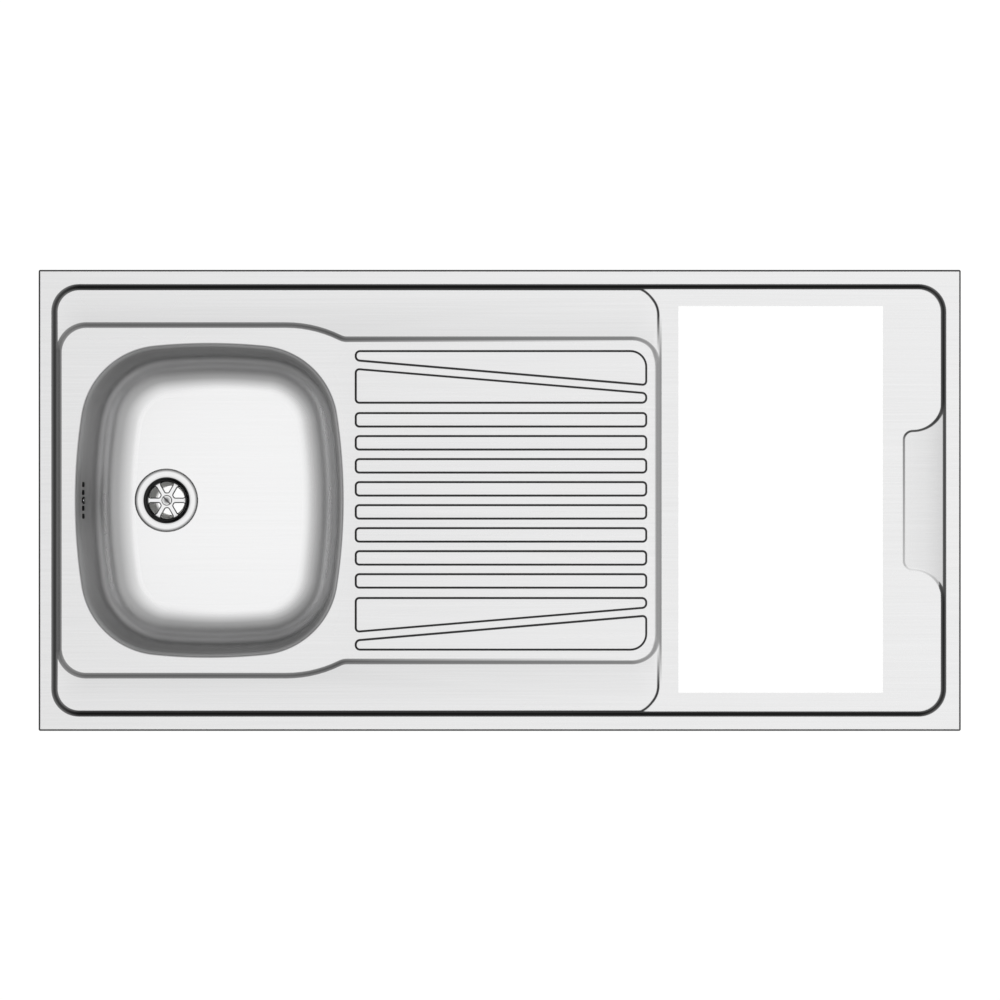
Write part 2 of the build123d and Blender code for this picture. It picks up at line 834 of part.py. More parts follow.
# ---- timber frame ----
batten_bottom = sheet
batten_top = rim_z - sheet - timber_gap
side_inner_x = half_length - sheet - timber_gap - batten_thickness
long_inner_y = half_width - sheet - timber_gap - batten_thickness
bowl_bar_left = -half_length + rib_left - crossbar_rib_gap
hob_bar_left = cutout_x - cutout_length / 2 - crossbar_hob_gap - batten_thickness
hob_bar_right = cutout_x + cutout_length / 2 + crossbar_hob_gap
bar_tops = {bowl_bar_left: field_z - sheet}
bar_tops[hob_bar_left] = platform_z - sheet
bar_tops[hob_bar_right] = platform_z - sheet


def long_batten(side, screws):
    """Front or rear batten, standing on the hem over the whole length."""
    reach = half_length - sheet - timber_gap
    ys = sorted((side * long_inner_y, side * (long_inner_y + batten_thickness)))
    return drilled(block((-reach, reach), ys, (batten_bottom, batten_top)), screws)


def side_batten(side, screws):
    """Left or right batten, fitted between the long ones."""
    xs = sorted((side * side_inner_x, side * (side_inner_x + batten_thickness)))
    body = block(xs, (-long_inner_y, long_inner_y), (batten_bottom, batten_top))
    return drilled(body, screws)


def crossbar(left, screws):
    top = bar_tops[left]
    xs = (left, left + batten_thickness)
    body = block(xs, (-long_inner_y, long_inner_y), (top - crossbar_height, top))
    return drilled(body, screws)


def drilled(timber, screws):
    """Timber with the holes that its screws have cut."""
    for fastener in screws:
        timber = timber - fastener
    return timber


# ---- crossbar brackets ----
def bracket_places():
    """Inner corner, end of the bar, way along X and height of each bracket."""
    faces = [
        (bowl_bar_left + batten_thickness, 1, bar_tops[bowl_bar_left]),
        (hob_bar_left, -1, bar_tops[hob_bar_left]),
        (hob_bar_right + batten_thickness, 1, bar_tops[hob_bar_right]),
    ]
    middle = crossbar_height / 2
    return [(x, end, along, top - middle) for x, along, top in faces for end in (1, -1)]


def bracket_screw_pair(x, end, along, z):
    """One screw into the crossbar's side and one into the long batten."""
    fastener = screw(
        bracket_screw_diameter, bracket_screw_length, bracket_screw_head, bracket_screw_head_height
    )
    reach, thick = bracket_screw_reach, bracket_thickness
    y = end * long_inner_y
    in_bar = facing(x + along * thick, y - end * reach, z, (along, 0, 0), fastener)
    in_batten = facing(x + along * reach, y - end * thick, z, (0, -end, 0), fastener)
    return [in_bar, in_batten]


def make_bracket(x, end, along, z):
    """Angle bracket that ties one end of a crossbar to its long batten."""
    zs = (z - bracket_height / 2, z + bracket_height / 2)
    y = end * long_inner_y
    leg, thick = bracket_leg, bracket_thickness
    on_bar = block(sorted((x, x + along * thick)), sorted((y, y - end * leg)), zs)
    on_batten = block(sorted((x, x + along * leg)), sorted((y, y - end * thick)), zs)
    body = on_bar + on_batten
    bend = body.edges().filter_by(Axis.Z).sort_by_distance((x + along * thick, y - end * thick, z))[0]
    body = fillet(bend, bracket_thickness)
    hole = bracket_screw_diameter + 2 * shank_clearance
    reach = bracket_screw_reach
    through = Cylinder(hole / 2, 6 * thick)
    body = body - facing(x, y - end * reach, z, (1, 0, 0), through)
    return body - facing(x + along * reach, y, z, (0, 1, 0), through)


# ---- fixing lugs ----
def lug_places():
    """Side of the sink and distance along Y of each fixing lug."""
    return [(side, end * lug_spacing / 2) for side in (-1, 1) for end in (-1, 1)]


def make_lug(side, y):
    """Flat lug that hangs from its screw, with a hole for the cabinet panel's own screw."""
    outer = side * (side_inner_x - lug_play)
    middle_z = lug_pivot_height - lug_reach / 2
    bar = SlotCenterToCenter(lug_reach, lug_width, rotation=90)
    body = at(outer, y, middle_z, extrude(Plane.YZ * bar, amount=-side * lug_thickness))
    pivot = lug_screw_diameter + 2 * lug_running_clearance
    length_through = 4 * lug_thickness
    body = body - across(pivot, outer, y, lug_pivot_height, length_through)
    return body - across(lug_hole_diameter, outer, y, lug_pivot_height - lug_reach, length_through)


def across(diameter, x, y, z, span):
    """Cylinder along X about a place."""
    return lying(diameter, x - span / 2, x + span / 2, z, y)


def make_lug_screw(side, y):
    """Screw that the lug swings on, with play left on both sides of the lug."""
    stand = lug_thickness + 2 * lug_play
    fastener = screw(
        lug_screw_diameter, lug_screw_length + stand, lug_screw_head, lug_screw_head_height
    )
    return facing(side * (side_inner_x - stand), y, lug_pivot_height, (-side, 0, 0), fastener)


# ---- earthing tab ----
def make_earth_tab():
    """Cranked tab welded under the deck, with a hole down through its leaf for the screw."""
    bend_y = (bowl_field_half_width + deck_half_width) / 2
    thick, half = earth_tab_thickness, earth_tab_width / 2
    top = deck_z - sheet
    low = top - earth_tab_stand - thick
    end_y = bend_y + earth_tab_leaf
    xs = (earth_tab_x - half, earth_tab_x + half)
    base = block(xs, (bend_y - earth_tab_base, bend_y), (top - thick, top))
    web = block(xs, (bend_y - thick, bend_y), (low, top))
    leaf = block(xs, (bend_y - thick, end_y), (low, low + thick))
    through = drum(earth_hole_diameter, low - past, low + thick + past, earth_tab_x, end_y - half)
    return base + web + leaf - through


# ---- write every piece ----
os.makedirs("parts", exist_ok=True)


def write(shape, name):
    export_step(shape, f"parts/{name}.step")


bar_screws = [fastener for place in bracket_places() for fastener in bracket_screw_pair(*place)]
lug_screws = [make_lug_screw(side, y) for side, y in lug_places()]
near = {
    "left": [fastener for fastener in lug_screws if fastener.center().X < 0],
    "right": [fastener for fastener in lug_screws if fastener.center().X > 0],
    "rear": [fastener for fastener in bar_screws[1::2] if fastener.center().Y > 0],
    "front": [fastener for fastener in bar_screws[1::2] if fastener.center().Y < 0],
}

write(make_top_sheet(), "top_sheet")
write(make_bowl(), "bowl")
write(make_bowl_pad(), "bowl_pad")
write(make_drainer_pad(), "drainer_pad")

write(long_batten(1, near["rear"]), "rear_batten")
write(long_batten(-1, near["front"]), "front_batten")
write(side_batten(-1, near["left"]), "left_batten")
write(side_batten(1, near["right"]), "right_batten")
bars = ("bowl_crossbar", "hob_crossbar_left", "hob_crossbar_right")
for index, (name, left) in enumerate(zip(bars, (bowl_bar_left, hob_bar_left, hob_bar_right))):
    write(crossbar(left, bar_screws[4 * index : 4 * index + 4 : 2]), name)
write(group(make_bracket(*place) for place in bracket_places()), "crossbar_brackets")
write(group(bar_screws), "bracket_screws")

lug_names = ("lug_left_front", "lug_left_rear", "lug_right_front", "lug_right_rear")
for name, place in zip(lug_names, lug_places()):
    write(make_lug(*place), name)
write(group(lug_screws), "lug_screws")
write(make_earth_tab(), "earth_tab")

write(make_strainer(), "strainer")
write(make_recess_seal(), "recess_seal")
write(make_waste_screw(), "waste_screw")
write(make_waste_nut(), "waste_nut")
write(make_under_seal(), "under_seal")
write(make_waste_body(), "waste_body")

write(make_overflow_head(), "overflow_head")
write(make_overflow_seal(), "overflow_seal")
write(make_overflow_screw(), "overflow_screw")
write(make_overflow_pipe(), "overflow_pipe")
upper_nut, lower_nut = make_pipe_nuts()
write(upper_nut, "upper_pipe_nut")
write(lower_nut, "lower_pipe_nut")
write(make_pipe_seals(), "pipe_seals")
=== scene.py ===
"""Lay-on kitchen sink with a bowl, a ribbed drainer and a hob cut-out, seen from straight above.

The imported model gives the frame: every piece made here sits where its node is.
Plans and profiles are in millimetres, and meshes are written in metres.
"""

from math import asin, atan2, ceil, cos, degrees, hypot, pi, radians, sin, sqrt, tan

import bmesh
import bpy
import numpy as np
from mathutils import Matrix, Vector
from mathutils.geometry import delaunay_2d_cdt


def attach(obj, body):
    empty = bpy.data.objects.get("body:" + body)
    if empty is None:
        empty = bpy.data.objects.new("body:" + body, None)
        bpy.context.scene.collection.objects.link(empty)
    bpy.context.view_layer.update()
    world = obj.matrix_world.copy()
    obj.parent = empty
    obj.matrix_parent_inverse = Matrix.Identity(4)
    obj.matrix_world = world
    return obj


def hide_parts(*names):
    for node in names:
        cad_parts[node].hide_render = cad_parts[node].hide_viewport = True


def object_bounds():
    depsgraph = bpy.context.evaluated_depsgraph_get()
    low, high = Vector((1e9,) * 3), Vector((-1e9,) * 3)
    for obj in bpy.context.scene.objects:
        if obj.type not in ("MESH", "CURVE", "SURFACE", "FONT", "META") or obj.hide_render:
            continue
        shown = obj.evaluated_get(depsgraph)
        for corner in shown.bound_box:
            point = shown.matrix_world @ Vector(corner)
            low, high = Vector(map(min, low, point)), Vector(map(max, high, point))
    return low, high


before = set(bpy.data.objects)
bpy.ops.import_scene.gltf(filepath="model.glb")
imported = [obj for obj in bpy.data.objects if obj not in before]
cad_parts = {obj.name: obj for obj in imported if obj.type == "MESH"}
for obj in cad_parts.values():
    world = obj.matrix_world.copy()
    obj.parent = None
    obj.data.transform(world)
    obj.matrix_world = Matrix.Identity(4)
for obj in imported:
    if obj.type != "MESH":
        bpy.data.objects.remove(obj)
cad_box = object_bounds()

bl_info = {
    "name": "Kitchen sink with drainboard",
    "version": (1, 0, 0),
    "blender": (4, 5, 0),
    "location": "3D View > Sidebar > Sink",
    "description": "Makes the visible pieces of a lay-on kitchen sink around its packed model",
    "category": "Object",
}

MM = 0.001
BODY = "sink"

# ---- pressed top ----
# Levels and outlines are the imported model's, apart from the ledge's height and the insets.
HALF_LENGTH, HALF_WIDTH, OUTER_CORNER = 600.0, 300.0, 2.2
RIM_Z, PLATFORM_Z, DECK_Z, FIELD_Z, DRAINER_RISE = 30.0, 25.5, 24.5, 20.5, 2.0
POOL_LEFT, POOL_RIGHT, POOL_HALF, POOL_CORNER = -582.3, 579.9, 280.3, 35.0
DECK_LEFT, DECK_RIGHT, DECK_HALF, DECK_CORNER = -576.8, 208.2, 274.8, 34.0
WALL_OVERRUN, FIELD_INSET = 0.6, 0.3
FIELD_WIDE, FIELD_NARROW = 230.4, 211.9
SHOULDER_X, SHOULDER_RADIUS = -283.0, 180.0
BEND_RADIUS, HEM_WIDTH, SHEET = 1.7, 10.0, 0.8
RIB_LEFT, RIB_RUN, RIB_WIDTH, RIB_PITCH, RIB_COUNT = -188.0, 379.3, 18.3, 30.0, 8
RIB_HEIGHT, RIB_FALL, RIB_INSET = 1.8, 0.78, 0.35
CUTOUT_X, CUTOUT_Y, CUTOUT_LENGTH, CUTOUT_WIDTH = 365.9, 1.2, 266.4, 503.5
LEDGE_LEFT, LEDGE_HALF, LEDGE_RIGHT, LEDGE_Z, LEDGE_FALL = 528.6, 88.0, 578.9, 28.2, 1.8
LEDGE_REACH = 42.0

# Height per millimetre in plan of the two long steps, and how far they stand from their outlines.
FIELD_FALL, FIELD_FALL_EASING, FIELD_OUT, FIELD_IN = 0.8, 0.34, 0.6, 0.2
DECK_FALL, DECK_OUT, DECK_TURNED_IN, DECK_BLEND = 0.46, 0.4, 2.7, 0.35

# How strongly painted shade darkens the colour, mostly on pressed slopes where it stands in for
# reflected darkness, and a little on the ledge's flat top and the bowl's flange: 0 is the brushed
# finish, 1 the darkest slope.
STEP_SHADE, RIGHT_STEP_EASING, LEFT_STEP_SHADE, SPILL_END_EASING = 0.76, 0.34, 0.8, 0.12
LEDGE_SIDE_SHADE, LEDGE_REAR_SHADE, LEDGE_TOP_SHADE, LEDGE_TOP_SHADE_RISE = 0.16, 0.8, 0.06, 0.16
SKIRT_SHADE, SPILL_BAND = 0.35, 7.5
LIP_SHADE, RIGHT_LIP_EASING, FLANGE_SHADE = 0.5, 0.2, 0.125
WALL_SHADE, END_WALL_RISE, LOW_WALL_EASING = 0.74, 0.15, 0.24
BEND_SHADE, END_BEND_RISE, FOOT_SHADE, END_FOOT_RISE, LEFT_BEND_SHADE = 0.12, 0.1, 0.12, 0.2, 0.26
UNDERSIDE = 100.0

# ---- bowl ----
BOWL_X, BOWL_LENGTH, BOWL_WIDTH = -378.8, 351.4, 411.3
SIDE_RADIUS, END_RADIUS, CORNER_RADIUS = 741.0, 730.0, 107.0
# The wall stands LIP_RADIUS inside the outline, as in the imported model, under a tighter roll.
FLANGE, LIP_RADIUS, LIP_ROLL = 3.0, 5.0, 2.5
DRAFT, FLOOR_RADIUS, FLOOR_Z = 4.0, 50.0, -129.5
SLOT_Z, SLOT_WIDTH, SLOT_HEIGHT, SLOT_PITCH = -12.5, 6.7, 18.0, 10.5
PANEL_TOP, PANEL_FOOT, PANEL_HALF = 0.0, -25.0, 40.0

# ---- waste ----
# The recess wall, the flange's edge and the well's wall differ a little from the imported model's.
WASTE_X, WASTE_HOLE = -450.0, 30.0
RECESS_Z, RECESS_RADIUS, RECESS_SLOPE, RECESS_BLEND = -132.5, 42.3, 82.0, 0.3
FLANGE_TOP, MOUTH_RADIUS = -130.5, 31.5
GRID_Z, GRID_INNER, GRID_OUTER, SPOKE, ROLL = -135.5, 10.9, 24.7, 7.3, 1.6
HEAD_RADIUS, HEAD_HEIGHT, HEAD_SLOT, HEAD_SLOT_DEPTH = 7.1, 3.0, 1.3, 0.6
SHANK_FOOT, SHANK_HOLE = -164.5, 3.1
BODY_TOP, BODY_RADIUS, BODY_FLANGE, BODY_WALL = -136.3, 35.0, 39.0, 3.0
CUP_FLOOR, OUTLET_Z, OUTLET_RADIUS, OUTLET_BORE = -174.3, -207.3, 23.9, 20.0
OUTLET_ROOT, OUTLET_PITCH, OUTLET_THREADS = 22.7, 2.6, 6
HUB_RADIUS, HUB_TOP, HUB_FOOT, NUT_CORNER = 8.0, -140.5, -162.5, 5.7735
WEB_WIDTH, WEB_HEIGHT, WEB_Z = 3.0, 16.0, -150.5

# ---- overflow ----
PIPE_X, PIPE_Z, PIPE_TOP, PIPE_END = -565.8, -156.5, -31.5, -494.0
PIPE_BEND, PIPE_RADIUS, PIPE_WALL, PIPE_FIT = 30.0, 10.0, 2.0, 0.2
SOCKET_RADIUS, SOCKET_FOOT, SOCKET_DEPTH, INLET_END, INLET_LENGTH = 12.7, -46.5, 16.0, -509.0, 26.8
NUT_RADIUS, NUT_HEIGHT, NUT_COVER, NUT_EDGE, NUT_LIP = 16.0, 14.0, 8.0, 0.9, 2.0
NUT_FLUTES, FLUTE_RADIUS, FLUTE_DEPTH = 12, 2.6, 1.2
STUD_SEAT, STUD_RADIUS, STUD_HEIGHT, STUD_FOOT = -546.9, 5.0, 2.0, -576.8

# ---- studio: brightness of the dome by sine of the height, over its end walls and side walls ----
END_WALLS = [
    (0.0, 0.03), (1.0, 1.04), (0.12, 0.14), (0.24, 0.42), (0.42, 0.72), (0.8, 0.88), (0.956, 1.03)
]
SIDE_WALLS = [
    (0.0, 0.03), (1.0, 1.04), (0.12, 0.16), (0.26, 0.42), (0.45, 0.66), (0.88, 0.82), (0.98, 1.01)
]
DOME_TILT = 0.36
SENSOR, CAMERA_X, CAMERA_Y = 36.0, 0.4, 0.47
FLOOR_HALF, FLOOR_GAP, FLOOR_DIFFUSE = 30000.0, 0.5, 0.12


# ---- outlines in plan ----
def outline(corners, step=6.0):
    """Closed outline through rounded corners (x, y, radius), anticlockwise.

    Gives points and outward normals, so that an offset of it is exact.
    """
    points, normals = [], []
    for i, (x, y, radius) in enumerate(corners):
        corner = Vector((x, y))
        ahead = (Vector(corners[(i + 1) % len(corners)][:2]) - corner).normalized()
        along = (corner - Vector(corners[i - 1][:2])).normalized()
        turn = atan2(along.cross(ahead), along.dot(ahead))
        side = 1 if turn > 0 else -1
        outward = Vector((along.y, -along.x))
        start = corner - along * radius * tan(abs(turn) / 2)
        centre = start - outward * radius * side
        steps = max(2, ceil(degrees(abs(turn)) / step))
        for k in range(steps + 1):
            normal = outward.copy()
            normal.rotate(Matrix.Rotation(turn * k / steps, 2))
            points.append(centre + normal * radius * side)
            normals.append(normal)
    return np.array(points), np.array(normals)


def grown(shape, growth):
    """Places on an outline moved outwards."""
    return shape[0] + shape[1] * growth


def box_corners(left, right, low, high, radius):
    return [(left, low, radius), (right, low, radius), (right, high, radius), (left, high, radius)]


def ramp(values, start, end):
    """0 up to a start, 1 past an end and a straight rise between them, in either direction."""
    return np.clip((values - start) / (end - start), 0, 1)


def circle(x, y, radius, count=96):
    angles = np.linspace(0, 2 * pi, count, endpoint=False)
    normals = np.stack([np.cos(angles), np.sin(angles)], axis=1)
    return normals * radius + (x, y), normals


def distance(shape, places):
    """Signed distance of places from an outline, negative inside it."""
    starts = shape[0]
    nearest = np.full(len(places), np.inf)
    inside = np.zeros(len(places), bool)
    x, y = places[:, 0], places[:, 1]
    for (ax, ay), (bx, by) in zip(starts, np.roll(starts, -1, axis=0)):
        run, rise = bx - ax, by - ay
        square = run * run + rise * rise
        if square < 1e-12:
            continue
        share = np.clip(((x - ax) * run + (y - ay) * rise) / square, 0, 1)
        gap = (x - ax - share * run) ** 2 + (y - ay - share * rise) ** 2
        nearest = np.minimum(nearest, gap)
        if rise:
            inside ^= ((ay > y) != (by > y)) & (x < ax + run * (y - ay) / rise)
    return np.where(inside, -1, 1) * np.sqrt(nearest)


def pool_outline():
    return outline(box_corners(POOL_LEFT, POOL_RIGHT, -POOL_HALF, POOL_HALF, POOL_CORNER))


def deck_outline():
    half = DECK_HALF + WALL_OVERRUN
    corners = box_corners(DECK_LEFT - 60.0, DECK_RIGHT, -half, half, 1.0)
    corners[1] = (DECK_RIGHT, -half, DECK_CORNER)
    corners[2] = (DECK_RIGHT, half, DECK_CORNER)
    return outline(corners)


def field_outline():
    """Bowl and drainer field: wide at the left, then a long shoulder and a narrower part."""
    left, right = DECK_LEFT + FIELD_INSET, DECK_RIGHT + WALL_OVERRUN
    turn = np.arccos(1 - (FIELD_WIDE - FIELD_NARROW) / SHOULDER_RADIUS)
    peak = SHOULDER_X + SHOULDER_RADIUS * tan(turn / 2)
    end = SHOULDER_X + SHOULDER_RADIUS * sin(turn)
    upper = [
        (right, FIELD_NARROW, 37.0),
        (end, FIELD_NARROW, 19.5),
        (peak, FIELD_WIDE, 160.0),
        (left, FIELD_WIDE, 38.0),
    ]
    lower = [(x, -y, radius) for x, y, radius in reversed(upper)]
    return outline(lower + upper, 4.0)


def ledge_outline():
    """Ledge beside the hob, with hollow shoulders into the rim."""
    upper = [
        (LEDGE_RIGHT + 60.0, LEDGE_HALF + LEDGE_REACH, 1.0),
        (LEDGE_RIGHT, LEDGE_HALF + LEDGE_REACH, 0.4),
        (LEDGE_RIGHT, LEDGE_HALF, 41.0),
        (LEDGE_LEFT, LEDGE_HALF, 9.2),
    ]
    lower = [(x, -y, radius) for x, y, radius in reversed(upper)]
    return outline(lower + upper, 5.0)


def rib_outlines():
    """Drainer ribs: eight straight bars and two wedges on each side of them."""
    left, right = RIB_LEFT, RIB_LEFT + RIB_RUN
    shapes = []
    for n in range(RIB_COUNT):
        y = (n - (RIB_COUNT - 1) / 2) * RIB_PITCH
        corners = box_corners(left, right, y - RIB_WIDTH / 2, y + RIB_WIDTH / 2, 5.0)
        shapes.append(outline(corners, 11.0))
    outer = [(left, 182.2, 6.0), (right, 149.9, 5.0), (right, 194.9, 21.0), (left, 194.9, 6.0)]
    inner = [(left, 126.9, 5.0), (right, 126.9, 6.0), (right, 140.0, 6.0), (left, 171.7, 5.0)]
    for wedge in (outer, inner):
        shapes.append(outline(wedge, 9.0))
        shapes.append(outline([(x, -y, r) for x, y, r in reversed(wedge)], 9.0))
    return shapes


def bowl_outline():
    """The bowl's plan: two long side arcs, two end arcs and four rounded corners."""
    side_middle = SIDE_RADIUS - BOWL_LENGTH / 2
    end_middle = END_RADIUS - BOWL_WIDTH / 2
    side_gap, end_gap = SIDE_RADIUS - CORNER_RADIUS, END_RADIUS - CORNER_RADIUS
    apart = hypot(side_middle, end_middle)
    along = (side_gap**2 - end_gap**2 + apart**2) / (2 * apart)
    off = sqrt(side_gap**2 - along**2)
    ux, uy = side_middle / apart, -end_middle / apart
    corner_x = -side_middle + along * ux - off * uy
    corner_y = along * uy + off * ux
    flat = atan2(corner_y, corner_x + side_middle)
    steep = atan2(corner_y + end_middle, corner_x)
    arcs = [
        (-side_middle, 0.0, SIDE_RADIUS, -flat, flat, 24),
        (corner_x, corner_y, CORNER_RADIUS, flat, steep, 24),
        (0.0, -end_middle, END_RADIUS, steep, pi - steep, 14),
        (-corner_x, corner_y, CORNER_RADIUS, pi - steep, pi - flat, 24),
        (side_middle, 0.0, SIDE_RADIUS, pi - flat, pi + flat, 24),
        (-corner_x, -corner_y, CORNER_RADIUS, pi + flat, pi + steep, 24),
        (0.0, end_middle, END_RADIUS, pi + steep, 2 * pi - steep, 14),
        (corner_x, -corner_y, CORNER_RADIUS, -steep, -flat, 24),
    ]
    points, normals = [], []
    for x, y, radius, start, end, count in arcs:
        for k in range(count):
            angle = start + (end - start) * k / count
            normal = (cos(angle), sin(angle))
            points.append((BOWL_X + x + radius * normal[0], y + radius * normal[1]))
            normals.append(normal)
    return np.array(points), np.array(normals)


# ---- pressed heights ----
def soft_min(a, b, blend):
    """Smaller of two heights, rounded where they meet as a press rounds a step."""
    share = np.clip(0.5 + 0.5 * (b - a) / blend, 0, 1)
    return b * (1 - share) + a * share - blend * share * (1 - share)


def soft_max(a, b, blend):
    return -soft_min(-a, -b, blend)


class Plan:
    """Rings and points in plan that a pressed sheet's mesh runs through."""

    def __init__(self):
        self.points, self.edges = [], []

    def ring(self, places, kept=None):
        """Adds a closed ring, or the stretches of it that are kept."""
        numbers = []
        for i, place in enumerate(places):
            if kept is None or kept[i]:
                numbers.append(len(self.points))
                self.points.append(Vector(place))
            else:
                numbers.append(None)
        for a, b in zip(numbers, numbers[1:] + numbers[:1]):
            if a is not None and b is not None:
                self.edges.append((a, b))

    def fill(self, bm, lift, holes):
        """Writes the sheet between the rings into a mesh, leaving the holes open.

        Steps that run into each other can't be bevelled, so all rings are triangulated together.
        """
        places, _, faces, *_ = delaunay_2d_cdt(self.points, self.edges, [], 0, 0.02)
        places = np.array(places)
        middles = places[np.array(faces)].mean(axis=1)
        open_ = np.zeros(len(middles), bool)
        for hole in holes:
            open_ |= distance(hole, middles) < 0
        corners = [bm.verts.new(Vector(co) * MM) for co in lift(places)]
        for face, skipped in zip(faces, open_):
            if not skipped:
                bm.faces.new([corners[i] for i in face])
        loose = [v for v in bm.verts if not v.link_faces]
        bmesh.ops.delete(bm, geom=loose, context="VERTS")


# ---- mesh helpers ----
def loop_edges(bm, ring):
    return [bm.edges.get(pair) for pair in zip(ring, ring[1:] + ring[:1])]


def new_verts(made):
    return [item for item in made if isinstance(item, bmesh.types.BMVert)]


def next_ring(bm, ring, places):
    """Extrudes a closed ring of vertices to new places in metres."""
    made = bmesh.ops.extrude_edge_only(bm, edges=loop_edges(bm, ring))["geom"]
    fresh = set(new_verts(made))
    following = []
    for corner in ring:
        others = (edge.other_vert(corner) for edge in corner.link_edges)
        following.append(next(v for v in others if v in fresh))
    for corner, place in zip(following, places):
        corner.co = place
    return following


def through(bm, rings):
    """Extrudes a closed ring through a row of places in metres. Gives the first and last rings."""
    first = bmesh.ops.create_circle(bm, segments=len(rings[0]), radius=1.0)["verts"]
    for corner, place in zip(first, rings[0]):
        corner.co = place
    ring = first
    for places in rings[1:]:
        ring = next_ring(bm, ring, places)
    return first, ring


def shell(bm, shape, profile):
    """Extrudes an outline through (growth, height) pairs."""
    rings = []
    for growth, z in profile:
        rings.append([Vector((x, y, z)) * MM for x, y in grown(shape, growth)])
    through(bm, rings)


def arc(middle_r, middle_z, radius, start, end, steps):
    """Profile points on an arc. Angles in degrees from +radius towards +height."""
    turn = [radians(start + (end - start) * k / steps) for k in range(steps + 1)]
    return [(middle_r + radius * cos(a), middle_z + radius * sin(a)) for a in turn]


def lathe(bm, profile, place=(0.0, 0.0, 0.0), axis=(0, 0, 1), steps=96):
    """Spins a closed (radius, height) profile about an axis through a place."""
    before = set(bm.verts)
    corners = [bm.verts.new(Vector((r, 0, z)) * MM) for r, z in profile]
    edges = [bm.edges.new(pair) for pair in zip(corners, corners[1:] + corners[:1])]
    bmesh.ops.spin(
        bm,
        geom=corners + edges,
        cent=(0, 0, 0),
        axis=(0, 0, 1),
        angle=2 * pi,
        steps=steps,
        use_merge=True,
        use_duplicate=False,
    )
    made = [v for v in bm.verts if v not in before]
    bmesh.ops.remove_doubles(bm, verts=made, dist=2e-6)
    fresh = (v for v in bm.verts if v not in before)
    bare = {edge for v in fresh for edge in v.link_edges if not edge.link_faces}
    bmesh.ops.delete(bm, geom=list(bare), context="EDGES")
    made = [v for v in bm.verts if v not in before]
    stand(bm, made, place, axis)
    faces = list({face for v in made for face in v.link_faces})
    bmesh.ops.recalc_face_normals(bm, faces=faces)
    return made


def stand(bm, verts, place, axis):
    """Turns a shape's own Z to an axis and moves its origin to a place."""
    turn = Vector((0, 0, 1)).rotation_difference(Vector(axis)).to_matrix().to_4x4()
    bmesh.ops.transform(bm, matrix=Matrix.Translation(Vector(place) * MM) @ turn, verts=verts)


def turned(corners, step=12.0):
    """Profile for a lathe through rounded corners (radius, height, rounding)."""
    points = outline([(r, z, max(rounding, 1e-4)) for r, z, rounding in corners], step)[0]
    return [(max(r, 0.0), z) for r, z in points]


def rod(radius, low, high, low_edge=0.0, high_edge=0.0):
    """Profile of a solid cylinder for a lathe."""
    return turned([(0, low, 0), (radius, low, low_edge), (radius, high, high_edge), (0, high, 0)])


def screw_profile(foot, point, shank, root, pitch, turns, head, height, seat_edge, crown):
    """Profile of a screw with a domed head: its seat is at height 0 and its shank is ridged."""
    threads = [((shank, root)[k % 2], foot + 0.6 + pitch * k, 0.0) for k in range(turns)]
    cap = [(shank, 0.0, 0.1), (head, 0.0, seat_edge), (head, height, crown), (0.0, height, 0.0)]
    return turned([(0.0, foot, 0.0), (point, foot, 0.0)] + threads + cap)


def break_edges(bm, edges, width, clamp):
    """Rounds edges over a small width."""
    return bmesh.ops.bevel(
        bm,
        geom=edges,
        offset=width * MM,
        offset_type="OFFSET",
        segments=2,
        profile=0.5,
        affect="EDGES",
        clamp_overlap=clamp,
        material=-1,
    )["verts"]


def bar(bm, size, place, turn=0.0, soft=0.4):
    """Block with softened edges, turned about the vertical."""
    made = bmesh.ops.create_cube(bm, size=1.0)["verts"]
    bmesh.ops.scale(bm, vec=Vector(size) * MM, verts=made)
    edges = list({edge for v in made for edge in v.link_edges})
    made = break_edges(bm, edges, soft, False)
    corners = list({v for corner in made for face in corner.link_faces for v in face.verts})
    spot = Matrix.Translation(Vector(place) * MM) @ Matrix.Rotation(turn, 4, "Z")
    bmesh.ops.transform(bm, matrix=spot, verts=corners)
    return corners


def face_up(bm):
    """Turns an open sheet so that its large flat faces look up."""
    bmesh.ops.recalc_face_normals(bm, faces=bm.faces)
    if max(bm.faces, key=lambda face: abs(face.normal.z) * face.calc_area()).normal.z < 0:
        bmesh.ops.reverse_faces(bm, faces=bm.faces)


def paint_slope_shade(piece, level):
    """Attribute of painted shade: 0 on flats and up to a level on slopes, where it darkens the
    colour in place of the darkness they reflect.
    """
    mesh = piece.data
    places = np.array([v.co for v in mesh.vertices]) / MM
    rise = np.clip([v.normal.z for v in mesh.vertices], -1.0, 1.0)
    slope = np.degrees(np.arccos(rise))
    # The attribute named pressed holds the painted shade that darkens the steel's colour.
    pressed = mesh.attributes.new("pressed", "FLOAT", "POINT")
    pressed.data.foreach_set("value", level(places, slope).astype(np.float32))


def tilted(slope):
    """0 on a flat, 1 from a slope of 13 degrees."""
    return ramp(slope, 3.0, 13.0)


def painted_shade_all_over(places, slope):
    """Level of painted shade on the slopes of small pressed or turned pieces."""
    return np.where(slope < UNDERSIDE, tilted(slope), 0.0)


